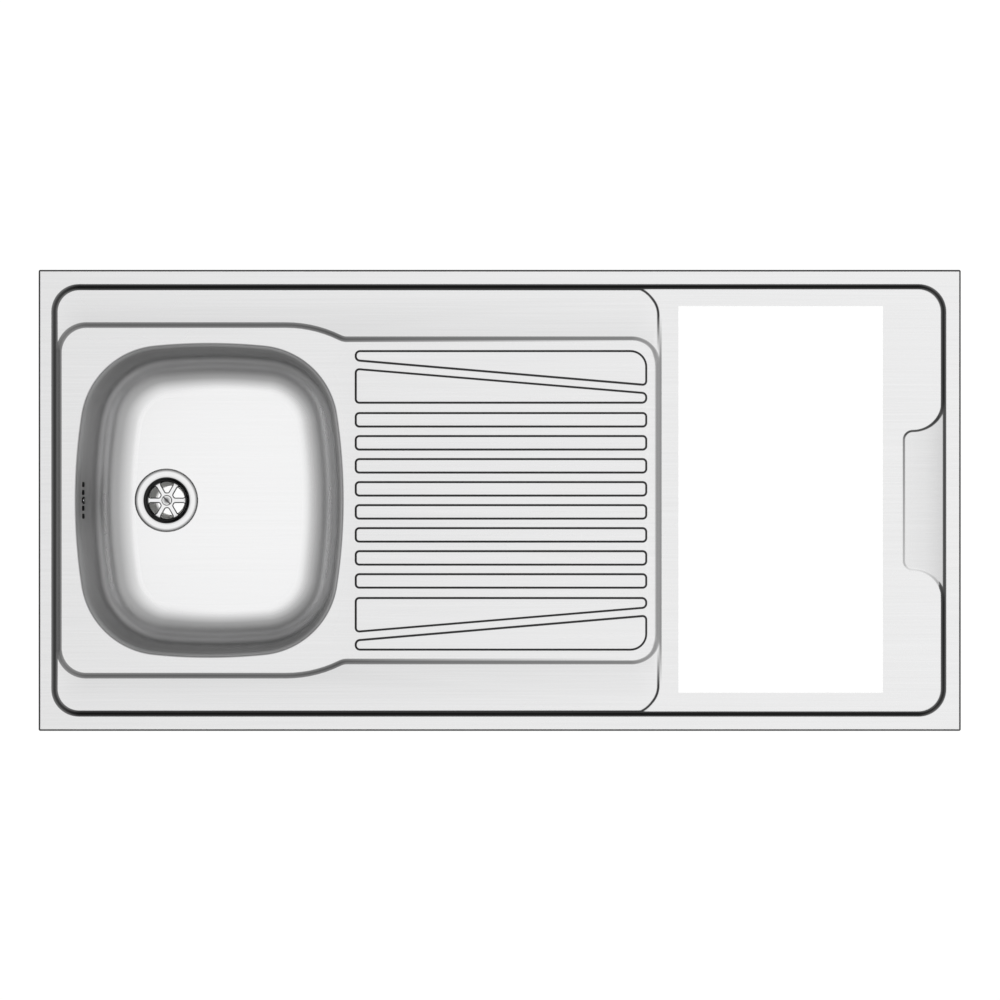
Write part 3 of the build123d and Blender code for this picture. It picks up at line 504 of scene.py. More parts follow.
def softened(node, width, material, body=BODY, angle=30.0):
    """Copy of a node with its loose triangles joined and its sharp edges broken, in its place."""
    bm = bmesh.new()
    bm.from_mesh(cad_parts[node].data)
    bmesh.ops.remove_doubles(bm, verts=bm.verts, dist=2e-6)
    bmesh.ops.dissolve_limit(
        bm,
        angle_limit=radians(0.5),
        use_dissolve_boundaries=False,
        verts=bm.verts,
        edges=bm.edges,
        delimit={"NORMAL"},
    )
    folds = [edge for edge in bm.edges if len(edge.link_faces) == 2]
    sharp = [edge for edge in folds if edge.calc_face_angle() > radians(angle)]
    break_edges(bm, sharp, width, True)
    bmesh.ops.triangulate(bm, faces=[face for face in bm.faces if len(face.verts) > 4])
    piece = piece_from(bm, node + "_made", node, material, body, angle)
    for name in ("custom_normal", "UVMap"):
        layer = piece.data.attributes.get(name)
        if layer:
            piece.data.attributes.remove(layer)
    return piece


def combine(piece, bm, operation):
    """Adds another closed shape to a piece (UNION), or takes it away (DIFFERENCE)."""
    mesh = bpy.data.meshes.new("shape")
    bm.to_mesh(mesh)
    bm.free()
    shape = bpy.data.objects.new("shape", mesh)
    bpy.context.scene.collection.objects.link(shape)
    modifier = piece.modifiers.new("combine", "BOOLEAN")
    modifier.object = shape
    modifier.operation = operation
    modifier.solver = "EXACT"
    settle(piece)
    bpy.data.objects.remove(shape)
    bpy.data.meshes.remove(mesh)


def lathed(*arguments, **settings):
    """Mesh of its own that holds one lathed shape."""
    bm = bmesh.new()
    lathe(bm, *arguments, **settings)
    return bm


def block_of(*arguments):
    """Mesh of its own that holds one softened block."""
    bm = bmesh.new()
    bar(bm, *arguments)
    return bm


def piece_from(bm, name, node, material, body=BODY, sharp=35.0):
    """Turns a mesh into a piece that stands for a node and rides on its body."""
    mesh = bpy.data.meshes.new(name)
    bm.to_mesh(mesh)
    bm.free()
    piece = bpy.data.objects.new(name, mesh)
    bpy.context.scene.collection.objects.link(piece)
    mesh.materials.append(material)
    mesh.shade_smooth()
    mesh.set_sharp_from_angle(angle=radians(sharp))
    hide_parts(node)
    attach(piece, body)
    return piece


def settle(piece, sharp=35.0):
    """Makes the mesh what the modifiers show, and clears them."""
    graph = bpy.context.evaluated_depsgraph_get()
    mesh = bpy.data.meshes.new_from_object(piece.evaluated_get(graph))
    piece.modifiers.clear()
    piece.data = mesh
    mesh.shade_smooth()
    mesh.set_sharp_from_angle(angle=radians(sharp))


def thicken(piece, thickness):
    """Gives a sheet its thickness behind the face that shows."""
    modifier = piece.modifiers.new("thickness", "SOLIDIFY")
    modifier.thickness = thickness * MM
    modifier.offset = -1.0
    modifier.use_even_offset = True
    settle(piece)


# ---- pressed top ----
def top_heights(press, rib_press):
    """Function that lifts places in plan to the pressed top's upper face."""
    pool, deck, field = pool_outline(), deck_outline(), field_outline()
    ledge, ribs = ledge_outline(), rib_outlines()
    start = BOWL_X + BOWL_LENGTH / 2 + FLANGE + 1.0
    slope = DRAINER_RISE / (DECK_RIGHT - start)

    def lift(places):
        x, y = places[:, 0], places[:, 1]
        bed = FIELD_Z + np.maximum(0, x - start) * slope
        gentle = ramp(x, DECK_RIGHT - 20.0, DECK_RIGHT - 5.0)
        gentle = gentle * ramp(abs(y), FIELD_NARROW - 8.0, FIELD_NARROW - 23.0)
        wall = distance(field, places) + FIELD_IN * gentle - FIELD_OUT * (1 - gentle)
        level = DECK_Z + wall * (FIELD_FALL - FIELD_FALL_EASING * gentle)
        level = soft_min(DECK_Z, soft_max(level, bed, press), press)
        turned_in = DECK_TURNED_IN * ramp(x, DECK_RIGHT - 25.0, DECK_RIGHT - 10.0) * (1 - gentle)
        wall = distance(deck, places) + turned_in - DECK_OUT * gentle
        level = soft_max(DECK_Z + wall * DECK_FALL, level, press * DECK_BLEND)
        level = soft_min(PLATFORM_Z, level, press * DECK_BLEND)
        ridge = LEDGE_Z - LEDGE_FALL * (1 - ramp(x, LEDGE_LEFT, LEDGE_RIGHT) ** 3)
        ridge = soft_min(ridge, LEDGE_Z - distance(ledge, places), press)
        level = soft_max(level, ridge, press)
        z = soft_min(RIM_Z, soft_max(RIM_Z + distance(pool, places), level, press), press)
        near = np.min([distance(rib, places) for rib in ribs], axis=0) + RIB_INSET
        rise = soft_min(RIB_HEIGHT, RIB_HEIGHT / 2 - RIB_FALL * near, rib_press)
        return np.column_stack([places, soft_max(z, bed + rise, rib_press)])

    return lift


def top_painted_shade(places, slope):
    """Level of painted shade on the top: deep steps and ribs most, shallow steps and the skirt
    less.
    """
    flat = places[:, :2]
    x, y = flat[:, 0], flat[:, 1]
    pool = distance(pool_outline(), flat)
    level = STEP_SHADE - RIGHT_STEP_EASING * ramp(x, DECK_RIGHT - 42.0, DECK_RIGHT - 12.0)
    shoulder = LEDGE_SIDE_SHADE + LEDGE_REAR_SHADE * ramp(y, LEDGE_HALF - 18.0, LEDGE_HALF - 2.0)
    shoulder = np.where(y < 2.0 - LEDGE_HALF, 0.0, shoulder)
    level = np.where(x > LEDGE_LEFT - 5.0, shoulder, level)
    level = np.where(x < DECK_LEFT + 6.0, LEFT_STEP_SHADE, level)
    spill = 1.0 - SPILL_END_EASING * ramp(abs(x), 545.0, 565.0)
    level = np.where((pool > -SPILL_BAND) & (pool < 3.0), spill, level)
    near = np.min([distance(rib, flat) for rib in rib_outlines()], axis=0)
    level = np.where(near < 2.5, 1.0, level)
    corner = (abs(distance(deck_outline(), flat)) < 5.0) & (x > 150.0) & (abs(y) > FIELD_NARROW)
    level = np.where(corner & (pool < -SPILL_BAND), 1.0, level) * tilted(slope)
    # Painted shade on the ledge's flat top, darker towards its right end, standing in for the
    # reflection of a tilt.
    on_ledge = (distance(ledge_outline(), flat) < 0) & (pool < -3.0)
    least = LEDGE_TOP_SHADE + LEDGE_TOP_SHADE_RISE * ramp(x, LEDGE_LEFT, LEDGE_RIGHT) ** 2
    level = np.where(on_ledge, np.maximum(level, least), level)
    # Painted shade along the outer bend, a dark outline, and less on the skirt below it.
    inset = BEND_RADIUS + 0.5
    edge = (abs(x) > HALF_LENGTH - inset) | (abs(y) > HALF_WIDTH - inset)
    skirt = places[:, 2] < RIM_Z - BEND_RADIUS - 0.2
    return np.where(edge, np.where(skirt, SKIRT_SHADE, 1.0), level)


def top_plan():
    """Rings along every step, rib and hole of the pressed top."""
    plan = Plan()
    pool, deck, field, ledge = pool_outline(), deck_outline(), field_outline(), ledge_outline()
    box = box_corners(-HALF_LENGTH, HALF_LENGTH, -HALF_WIDTH, HALF_WIDTH, OUTER_CORNER)
    edge = outline(box, 15.0)
    for inset in (0.0, 0.45, 0.9):
        plan.ring(grown(edge, -BEND_RADIUS - inset))
    growths = (2.0, 1.4, 0.8, 0.3, -0.3, -0.9, -1.8, -2.7)
    for growth in growths + (-3.3, -3.9, -4.5, -5.1, -5.7, -6.3, -6.9, -7.4):
        plan.ring(grown(pool, growth))
    growths = (4.6, 3.8, 3.0, 2.2, 1.5, 0.9, 0.4, 0.0)
    for growth in growths + (-0.4, -0.9, -1.5, -2.2, -2.8, -3.4, -4.0, -4.8):
        plan.ring(grown(deck, growth), deck[1][:, 0] > 0.2)
    growths = (2.0, 1.4, 0.8, 0.2, -0.4, -1.0, -2.0)
    for growth in growths + (-3.0, -3.6, -4.2, -4.8, -5.4, -6.0, -6.8, -7.6):
        plan.ring(grown(field, growth))
    for growth in (-1.8, -1.1, -0.5, 0.0, 0.6, 1.3, 2.1, 2.9, 3.5, 4.1, 4.8, 5.6):
        places = grown(ledge, growth)
        plan.ring(places, places[:, 0] < POOL_RIGHT + 2.0)
    for rib in rib_outlines():
        for growth in (1.3, 1.0, 0.75, 0.45, -1.15, -1.4, -1.65, -2.0):
            plan.ring(grown(rib, growth))
    hole = grown(bowl_outline(), FLANGE)
    half_x, half_y = CUTOUT_LENGTH / 2, CUTOUT_WIDTH / 2
    cutout = np.array([(-half_x, -half_y), (half_x, -half_y), (half_x, half_y), (-half_x, half_y)])
    cutout = cutout + (CUTOUT_X, CUTOUT_Y)
    plan.ring(hole)
    plan.ring(cutout)
    return plan, edge, ((hole, None), (cutout, None))


def make_top_sheet(sizes, steel):
    """Pressed top with its spill rim, steps, ribs and ledge, folded down into a skirt and a hem."""
    bm = bmesh.new()
    plan, edge, holes = top_plan()
    plan.fill(bm, top_heights(sizes.press_blend / MM, sizes.rib_blend / MM), holes)
    bend = arc(-BEND_RADIUS, RIM_Z - BEND_RADIUS, BEND_RADIUS, 90, 0, 6)
    foot = arc(-BEND_RADIUS, BEND_RADIUS, BEND_RADIUS, 0, -90, 5)
    shell(bm, edge, bend + [(0.0, RIM_Z - BEND_RADIUS - 0.3)] + foot)
    bmesh.ops.remove_doubles(bm, verts=bm.verts, dist=2e-5)
    add_hem(bm)
    face_up(bm)
    piece = piece_from(bm, "top_sheet_pressed", "top_sheet", steel)
    paint_slope_shade(piece, top_painted_shade)
    thicken(piece, sizes.sheet / MM)
    return piece


def add_hem(bm):
    """Folds the skirt's foot inwards on each side, mitred at the corners."""
    low = [e for e in bm.edges if e.is_boundary and max(v.co.z for v in e.verts) < 1e-5]
    made = bmesh.ops.extrude_edge_only(bm, edges=low)["geom"]
    inner_x, inner_y = HALF_LENGTH - SHEET - HEM_WIDTH, HALF_WIDTH - SHEET - HEM_WIDTH
    for corner in made:
        if isinstance(corner, bmesh.types.BMVert):
            x, y = corner.co.x / MM, corner.co.y / MM
            corner.co.x = max(-inner_x, min(inner_x, x)) * MM
            corner.co.y = max(-inner_y, min(inner_y, y)) * MM
    bmesh.ops.remove_doubles(bm, verts=bm.verts, dist=1e-6)


# ---- bowl ----
def wall_growth(z):
    """How far the bowl's drafted wall stands outside its plan at a height."""
    return -LIP_RADIUS - (FIELD_Z - z) * tan(radians(DRAFT))


def bowl_profile():
    """Growth and height from the flange over the lip, down the wall and into the floor."""
    lip = arc(0.3, FIELD_Z - LIP_ROLL, LIP_ROLL, 90, 161, 9)
    floor_reach = FLOOR_RADIUS * tan(radians((90 - DRAFT) / 2))
    floor_edge = wall_growth(FLOOR_Z) - floor_reach
    bend = arc(floor_edge, FLOOR_Z + FLOOR_RADIUS, FLOOR_RADIUS, -DRAFT, -76, 24)
    wall = [(wall_growth(z), z) for z in (8.0, 0.0, -25.0, -45.0, -65.0)]
    return [(FLANGE, FIELD_Z), (0.6, FIELD_Z)] + lip + wall + bend, floor_edge


def bowl_painted_shade(places, slope):
    """Level of painted shade in the bowl: the lip and the upper wall most, the flange a little."""
    x, z = places[:, 0], places[:, 2]
    ends = ramp(abs(places[:, 1]), 110.0, 180.0)
    right = ramp(x, BOWL_X, BOWL_X + 90.0) * (1 - ends)
    left = ramp(x, BOWL_X, BOWL_X - 90.0) * (1 - ends)
    foot = -115.0 + 6.0 * (1 - ends)
    wall = ramp(z, foot, foot + 24.0)
    deep = ramp(z, -114.0, -120.0)
    bend = BEND_SHADE + END_BEND_RISE * ends + deep * (FOOT_SHADE + END_FOOT_RISE * ends)
    upper = WALL_SHADE + END_WALL_RISE * ends - LOW_WALL_EASING * ramp(z, -30.0, -90.0)
    level = (bend * (1 - wall) + upper * wall) * ramp(slope, 8.0, 26.0)
    level += LEFT_BEND_SHADE * left * ramp(slope, 2.0, 8.0) * ramp(slope, 42.0, 30.0)
    # Painted shade on the lip, and a little on the flat flange, which dims it to the top's
    # brightness.
    lip = np.maximum((LIP_SHADE - RIGHT_LIP_EASING * right) * tilted(slope), FLANGE_SHADE)
    level = np.where(z > FIELD_Z - LIP_ROLL, lip, level)
    level = np.where((z < FLOOR_Z - 0.1) & (slope > 25.0), 1.0, level)
    return np.where(slope < UNDERSIDE, level, 0.0)


def bowl_floor(shape, floor_edge):
    """Function that lifts places in plan to the bowl's floor, with the waste's recess."""
    def lift(places):
        reach = np.clip(distance(shape, places) - floor_edge, 0, FLOOR_RADIUS * 0.99)
        floor = FLOOR_Z + FLOOR_RADIUS - np.sqrt(FLOOR_RADIUS**2 - reach**2)
        radius = np.hypot(places[:, 0] - WASTE_X, places[:, 1])
        wall = RECESS_Z + (radius - RECESS_RADIUS) * tan(radians(RECESS_SLOPE))
        recess = soft_max(RECESS_Z, wall, RECESS_BLEND)
        return np.column_stack([places, soft_min(floor, recess, RECESS_BLEND)])

    return lift


def make_bowl(sizes, steel):
    """Deep-drawn bowl with its overflow slots and the recess for the waste."""
    bm = bmesh.new()
    shape = bowl_outline()
    profile, floor_edge = bowl_profile()
    shell(bm, shape, profile)
    cut_slot_panel(bm)
    inner = profile[-1][0]
    plan = Plan()
    for growth in (inner, inner - 3.0, inner - 6.0, inner - 9.0, floor_edge, floor_edge - 2.0):
        plan.ring(grown(shape, growth))
    for radius in (WASTE_HOLE, 41.4, 42.1, 42.25, 42.35, 42.5, 42.65, 42.8, 43.2, 44.5):
        plan.ring(circle(WASTE_X, 0, radius)[0])
    plan.fill(bm, bowl_floor(shape, floor_edge), [circle(WASTE_X, 0, WASTE_HOLE)])
    bmesh.ops.remove_doubles(bm, verts=bm.verts, dist=6e-5)
    face_up(bm)
    piece = piece_from(bm, "bowl_drawn", "bowl", steel)
    paint_slope_shade(piece, bowl_painted_shade)
    thicken(piece, sizes.sheet / MM)
    return piece


def cut_slot_panel(bm):
    """Replaces the wall behind the overflow by a panel with five upright slots."""
    middle_x = BOWL_X + SIDE_RADIUS - BOWL_LENGTH / 2

    def in_panel(face):
        x, y, z = face.calc_center_median() / MM
        return x < BOWL_X - 100 and abs(y) < PANEL_HALF and PANEL_FOOT < z < PANEL_TOP

    gone = [face for face in bm.faces if in_panel(face)]
    corners = {v for face in gone for v in face.verts if v.co.z / MM > PANEL_TOP - 1}
    spans = sorted({round(v.co.y / MM, 3) for v in corners})
    reach = SIDE_RADIUS + wall_growth(PANEL_TOP)
    columns = [np.arcsin(y / reach) * SIDE_RADIUS for y in spans]
    bmesh.ops.delete(bm, geom=gone, context="FACES")
    plan = Plan()
    plan.ring([(s, PANEL_FOOT) for s in columns] + [(s, PANEL_TOP) for s in reversed(columns)])
    slots = []
    for n in range(-2, 3):
        middle = n * SLOT_PITCH
        left, right = middle - SLOT_WIDTH / 2, middle + SLOT_WIDTH / 2
        ends = SLOT_Z - SLOT_HEIGHT / 2, SLOT_Z + SLOT_HEIGHT / 2
        slots.append(outline(box_corners(left, right, *ends, SLOT_WIDTH / 2 - 0.01), 15.0))
        plan.ring(slots[-1][0])

    def lift(places):
        z = places[:, 1]
        radius, angle = SIDE_RADIUS + wall_growth(z), places[:, 0] / SIDE_RADIUS
        return np.column_stack([middle_x - radius * np.cos(angle), radius * np.sin(angle), z])

    plan.fill(bm, lift, slots)


# ---- waste ----
def grid_openings():
    """Outlines of the six openings between the strainer's spokes."""
    shapes = []
    for n in range(6):
        middle = radians(30 + 60 * n)
        inner, outer = asin(SPOKE / 2 / GRID_INNER), asin(SPOKE / 2 / GRID_OUTER)
        crown = GRID_OUTER / cos((radians(30) - outer) / 2) + 0.2
        corners = [
            (GRID_INNER, inner - radians(30), 2.0),
            (GRID_OUTER, outer - radians(30), 2.0),
            (crown, 0.0, 18.0),
            (GRID_OUTER, radians(30) - outer, 2.0),
            (GRID_INNER, radians(30) - inner, 2.0),
        ]
        placed = []
        for r, a, rounding in corners:
            placed.append((WASTE_X + r * cos(middle + a), r * sin(middle + a), rounding))
        shapes.append(outline(placed, 10.0))
    return shapes


def make_strainer(sizes, steel):
    """Flange, well and grid pressed from one sheet, its openings rolled down at their edges."""
    openings = grid_openings()
    hole = circle(WASTE_X, 0, SHANK_HOLE, 36)
    wall = [(24.6, GRID_Z), (25.3, -135.35), (26.1, -134.95)]
    wall += [(27.0, -134.3), (28.0, -133.35), (29.0, -132.3)]
    lip = [(29.9, -131.4), (30.5, -130.9), (31.0, -130.6), (MOUTH_RADIUS, FLANGE_TOP)]
    edge = [(41.65, FLANGE_TOP), (41.85, -130.65), (41.95, -131.1)]
    radii, heights = zip(*(wall + lip + edge))
    plan = Plan()
    for opening in openings:
        for growth in (0.0, 0.12, 0.35, 0.7, 1.15, 1.6, 2.1):
            plan.ring(grown(opening, growth))
    for radius in (SHANK_HOLE, 3.3, 3.8, 6.0, 8.5) + radii + (34.0, 38.0):
        plan.ring(circle(WASTE_X, 0, radius)[0])

    def lift(places):
        radius = np.hypot(places[:, 0] - WASTE_X, places[:, 1])
        gap = np.min([distance(shape, places) for shape in openings], axis=0)
        drop = ROLL * (1 - np.sqrt(1 - ramp(gap, ROLL, 0.0) ** 2))
        return np.column_stack([places, np.interp(radius, radii, heights) - drop])

    bm = bmesh.new()
    plan.fill(bm, lift, openings + [hole])
    face_up(bm)
    piece = piece_from(bm, "strainer_pressed", "strainer", steel)
    paint_slope_shade(piece, painted_shade_all_over)
    thicken(piece, sizes.strainer_sheet / MM)
    return piece


def make_waste_screw(steel):
    """Slotted screw in the middle of the grid, threaded at its foot."""
    foot = SHANK_FOOT - GRID_Z
    shank = {"point": 2.4, "shank": 3.0, "root": 2.65, "pitch": 0.5, "turns": 24}
    cap = {"head": HEAD_RADIUS, "height": HEAD_HEIGHT, "seat_edge": 0.2, "crown": 1.2}
    mesh = lathed(screw_profile(foot, **shank, **cap), (WASTE_X, 0.0, GRID_Z))
    piece = piece_from(mesh, "waste_screw_turned", "waste_screw", steel)
    slot = (3 * HEAD_RADIUS, HEAD_SLOT, 2 * HEAD_SLOT_DEPTH)
    crown = (WASTE_X, 0.0, GRID_Z + HEAD_HEIGHT)
    combine(piece, block_of(slot, crown, radians(-45), 0.15), "DIFFERENCE")
    paint_slope_shade(piece, painted_shade_all_over)
    return piece


def make_waste_body(plastic):
    """Cup under the bowl with a threaded outlet, a side inlet and a spider for the screw."""
    bore = BODY_RADIUS - BODY_WALL
    profile = [(OUTLET_BORE, OUTLET_Z, 0.5), (OUTLET_ROOT, OUTLET_Z, 0.5)]
    for k in range(OUTLET_THREADS):
        low = OUTLET_Z + 2.2 + OUTLET_PITCH * k
        profile += [(OUTLET_ROOT, low, 0.0), (OUTLET_RADIUS, low + 0.8, 0.1)]
        profile += [(OUTLET_RADIUS, low + 1.2, 0.1), (OUTLET_ROOT, low + 2.0, 0.0)]
    profile += [(OUTLET_ROOT, CUP_FLOOR - 13.0, 0.3), (OUTLET_RADIUS, CUP_FLOOR - 12.0, 0.3)]
    profile += [(OUTLET_RADIUS, CUP_FLOOR - 7.0, 3.0), (BODY_RADIUS, CUP_FLOOR, 5.0)]
    flange = BODY_TOP - BODY_WALL
    profile += [(BODY_RADIUS, flange, 1.0), (BODY_FLANGE, flange, 0.6)]
    profile += [(BODY_FLANGE, BODY_TOP, 0.6), (bore, BODY_TOP, 0.5)]
    profile += [(bore, CUP_FLOOR + 3.0, 4.0), (OUTLET_BORE, CUP_FLOOR - 3.0, 2.0)]
    axis, inlet, along = (WASTE_X, 0.0, 0.0), (INLET_END, 0.0, PIPE_Z), (1, 0, 0)
    body = lathed(turned(profile), axis)
    piece = piece_from(body, "waste_body_moulded", "waste_body", plastic)
    tube = rod(SOCKET_RADIUS, 0, INLET_LENGTH, 0.6)
    combine(piece, lathed(tube, inlet, along, 64), "UNION")
    hub = rod(HUB_RADIUS, HUB_FOOT, HUB_TOP, 0.5, 1.0)
    combine(piece, lathed(hub, axis, steps=48), "UNION")
    for turn in (0, 60, 120):
        web = (2 * bore + 2.0, WEB_WIDTH, WEB_HEIGHT)
        combine(piece, block_of(web, (WASTE_X, 0.0, WEB_Z), radians(turn), 0.5), "UNION")
    for radius, depth in ((PIPE_RADIUS + PIPE_FIT, SOCKET_DEPTH), (PIPE_RADIUS - PIPE_WALL, 30.0)):
        combine(piece, lathed(rod(radius, -1, depth), inlet, along, 64), "DIFFERENCE")
    combine(piece, lathed(rod(SHANK_HOLE, -170, -130), axis, steps=32), "DIFFERENCE")
    combine(piece, lathed(rod(NUT_CORNER, -163, -157.5), axis, steps=6), "DIFFERENCE")
    return piece


# ---- overflow ----
def make_overflow_screw(steel):
    """Small slotted screw in the middle one of the overflow slots."""
    foot = STUD_FOOT - STUD_SEAT
    shank = {"point": 2.0, "shank": 2.5, "root": 2.2, "pitch": 0.4, "turns": 40}
    cap = {"head": STUD_RADIUS, "height": STUD_HEIGHT, "seat_edge": 0.1, "crown": 1.0}
    mesh = lathed(screw_profile(foot, **shank, **cap), (STUD_SEAT, 0.0, SLOT_Z), (1, 0, 0), 48)
    piece = piece_from(mesh, "overflow_screw_turned", "overflow_screw", steel)
    slot = (1.6, 3 * STUD_RADIUS, 1.2)
    crown = (STUD_SEAT + STUD_HEIGHT, 0.0, SLOT_Z)
    combine(piece, block_of(slot, crown, 0.0, 0.1), "DIFFERENCE")
    paint_slope_shade(piece, painted_shade_all_over)
    return piece


def make_overflow_pipe(plastic):
    """Rigid pipe that drops from the overflow head and bends round to the waste body."""
    bm = bmesh.new()
    made = bmesh.ops.create_circle(bm, segments=48, radius=PIPE_RADIUS * MM)["verts"]
    bmesh.ops.translate(bm, verts=made, vec=Vector((PIPE_X, 0, PIPE_TOP)) * MM)
    bend_z = PIPE_Z + PIPE_BEND
    ring = next_ring(bm, made, [v.co + Vector((0, 0, bend_z - PIPE_TOP)) * MM for v in made])
    bend = bmesh.ops.spin(
        bm,
        geom=ring + loop_edges(bm, ring),
        cent=Vector((PIPE_X + PIPE_BEND, 0, bend_z)) * MM,
        axis=(0, 1, 0),
        angle=radians(-90),
        steps=16,
    )
    last = [item for item in bend["geom_last"] if isinstance(item, bmesh.types.BMEdge)]
    made = bmesh.ops.extrude_edge_only(bm, edges=last)["geom"]
    run = PIPE_END - PIPE_X - PIPE_BEND
    bmesh.ops.translate(bm, verts=new_verts(made), vec=Vector((run, 0, 0)) * MM)
    bmesh.ops.remove_doubles(bm, verts=bm.verts, dist=1e-6)
    bmesh.ops.recalc_face_normals(bm, faces=bm.faces)
    piece = piece_from(bm, "overflow_pipe_bent", "overflow_pipe", plastic)
    thicken(piece, PIPE_WALL)
    return piece


def make_pipe_nut(node, place, axis, plastic):
    """Hand-tightened nut with grip flutes and a lip, on a socket's end."""
    count = 144
    angles = [2 * pi * k / count for k in range(count)]
    flute_x = NUT_RADIUS + FLUTE_RADIUS - FLUTE_DEPTH

    def plain(radius, z):
        return [Vector((radius * cos(a), radius * sin(a), z)) * MM for a in angles]

    def fluted(inset, z):
        places = []
        for a in angles:
            off = (a + pi / NUT_FLUTES) % (2 * pi / NUT_FLUTES) - pi / NUT_FLUTES
            dip = FLUTE_RADIUS**2 - (flute_x * sin(off)) ** 2
            radius = NUT_RADIUS if dip <= 0 else min(NUT_RADIUS, flute_x * cos(off) - sqrt(dip))
            places.append(Vector(((radius - inset) * cos(a), (radius - inset) * sin(a), z)) * MM)
        return places

    lip, bore, half = NUT_HEIGHT - NUT_LIP, PIPE_RADIUS + PIPE_FIT, 0.25
    rings = [plain(bore, NUT_HEIGHT), plain(12.6, NUT_HEIGHT), fluted(NUT_EDGE, NUT_HEIGHT)]
    rings += [fluted(half, NUT_HEIGHT - half), fluted(0.0, NUT_HEIGHT - NUT_EDGE)]
    rings += [fluted(0.0, NUT_EDGE), fluted(half, half), fluted(NUT_EDGE, 0.0)]
    rings += [plain(SOCKET_RADIUS + 0.4, 0.0), plain(SOCKET_RADIUS, 0.4)]
    rings += [plain(SOCKET_RADIUS, lip), plain(bore, lip)]
    bm = bmesh.new()
    first, last = through(bm, rings)
    bmesh.ops.bridge_loops(bm, edges=loop_edges(bm, first) + loop_edges(bm, last))
    stand(bm, bm.verts, place, axis)
    bmesh.ops.recalc_face_normals(bm, faces=bm.faces)
    return piece_from(bm, node + "_fluted", node, plastic, sharp=40.0)


def make_ring_seals(name, node, rings, rubber):
    """Rubber rings with rounded edges: (outer, inner, low, high, place, axis) each."""
    bm = bmesh.new()
    for outer, inner, low, high, place, axis in rings:
        soft = min(0.4, (high - low) * 0.3)
        corners = [(inner, low, soft), (outer, low, soft), (outer, high, soft), (inner, high, soft)]
        lathe(bm, turned(corners, 30.0), place, axis)
    piece_from(bm, name, node, rubber)


# ---- finishes ----
def group_of(name, inputs, outputs):
    """Empty shader group with named sockets, and its two end nodes."""
    tree = bpy.data.node_groups.new(name, "ShaderNodeTree")
    for label, kind, value in inputs:
        socket = tree.interface.new_socket(name=label, in_out="INPUT", socket_type=kind)
        socket.default_value = value
    for label in outputs:
        tree.interface.new_socket(name=label, in_out="OUTPUT", socket_type="NodeSocketFloat")
    return tree, tree.nodes.new("NodeGroupInput"), tree.nodes.new("NodeGroupOutput")


def add(tree, kind, **settings):
    node = tree.nodes.new(kind)
    for label, value in settings.items():
        setattr(node, label, value)
    return node


def feed(tree, socket, value):
    """Links a socket to another one, or writes a number or a colour there."""
    if isinstance(value, bpy.types.NodeSocket):
        tree.links.new(value, socket)
    else:
        socket.default_value = value


def stretched_noise(tree, scale, detail, size=1.0, where=None):
    """Noise on object coordinates, stretched by its scale along each axis."""
    where = where or add(tree, "ShaderNodeTexCoord").outputs["Object"]
    mapping = add(tree, "ShaderNodeMapping")
    mapping.inputs["Scale"].default_value = scale
    noise = add(tree, "ShaderNodeTexNoise")
    feed(tree, noise.inputs["Scale"], size)
    noise.inputs["Detail"].default_value = detail
    tree.links.new(where, mapping.inputs["Vector"])
    tree.links.new(mapping.outputs["Vector"], noise.inputs["Vector"])
    return noise.outputs["Fac"]


def maths(tree, operation, a, b, clamp=False):
    node = add(tree, "ShaderNodeMath", operation=operation, use_clamp=clamp)
    feed(tree, node.inputs[0], a)
    feed(tree, node.inputs[1], b)
    return node.outputs[0]


def blended(tree, a, share_a, b, share_b):
    """Sum of two values, each times its share."""
    return maths(
        tree, "ADD", maths(tree, "MULTIPLY", a, share_a), maths(tree, "MULTIPLY", b, share_b)
    )


def mixed(tree, factor, first, second, blend="MIX"):
    """Mix of two colours, each a socket or red, green, blue and 1."""
    node = add(tree, "ShaderNodeMix", data_type="RGBA", blend_type=blend)
    feed(tree, node.inputs["Factor"], factor)
    for socket, value in zip((s for s in node.inputs if s.type == "RGBA"), (first, second)):
        feed(tree, socket, value)
    return next(socket for socket in node.outputs if socket.type == "RGBA")


def spread(tree, value, low, high, start=0.3, end=0.7):
    """Maps a noise's middle range onto another range."""
    node = add(tree, "ShaderNodeMapRange")
    for label, number in zip(("From Min", "From Max", "To Min", "To Max"), (start, end, low, high)):
        feed(tree, node.inputs[label], number)
    tree.links.new(value, node.inputs["Value"])
    return node.outputs["Result"]


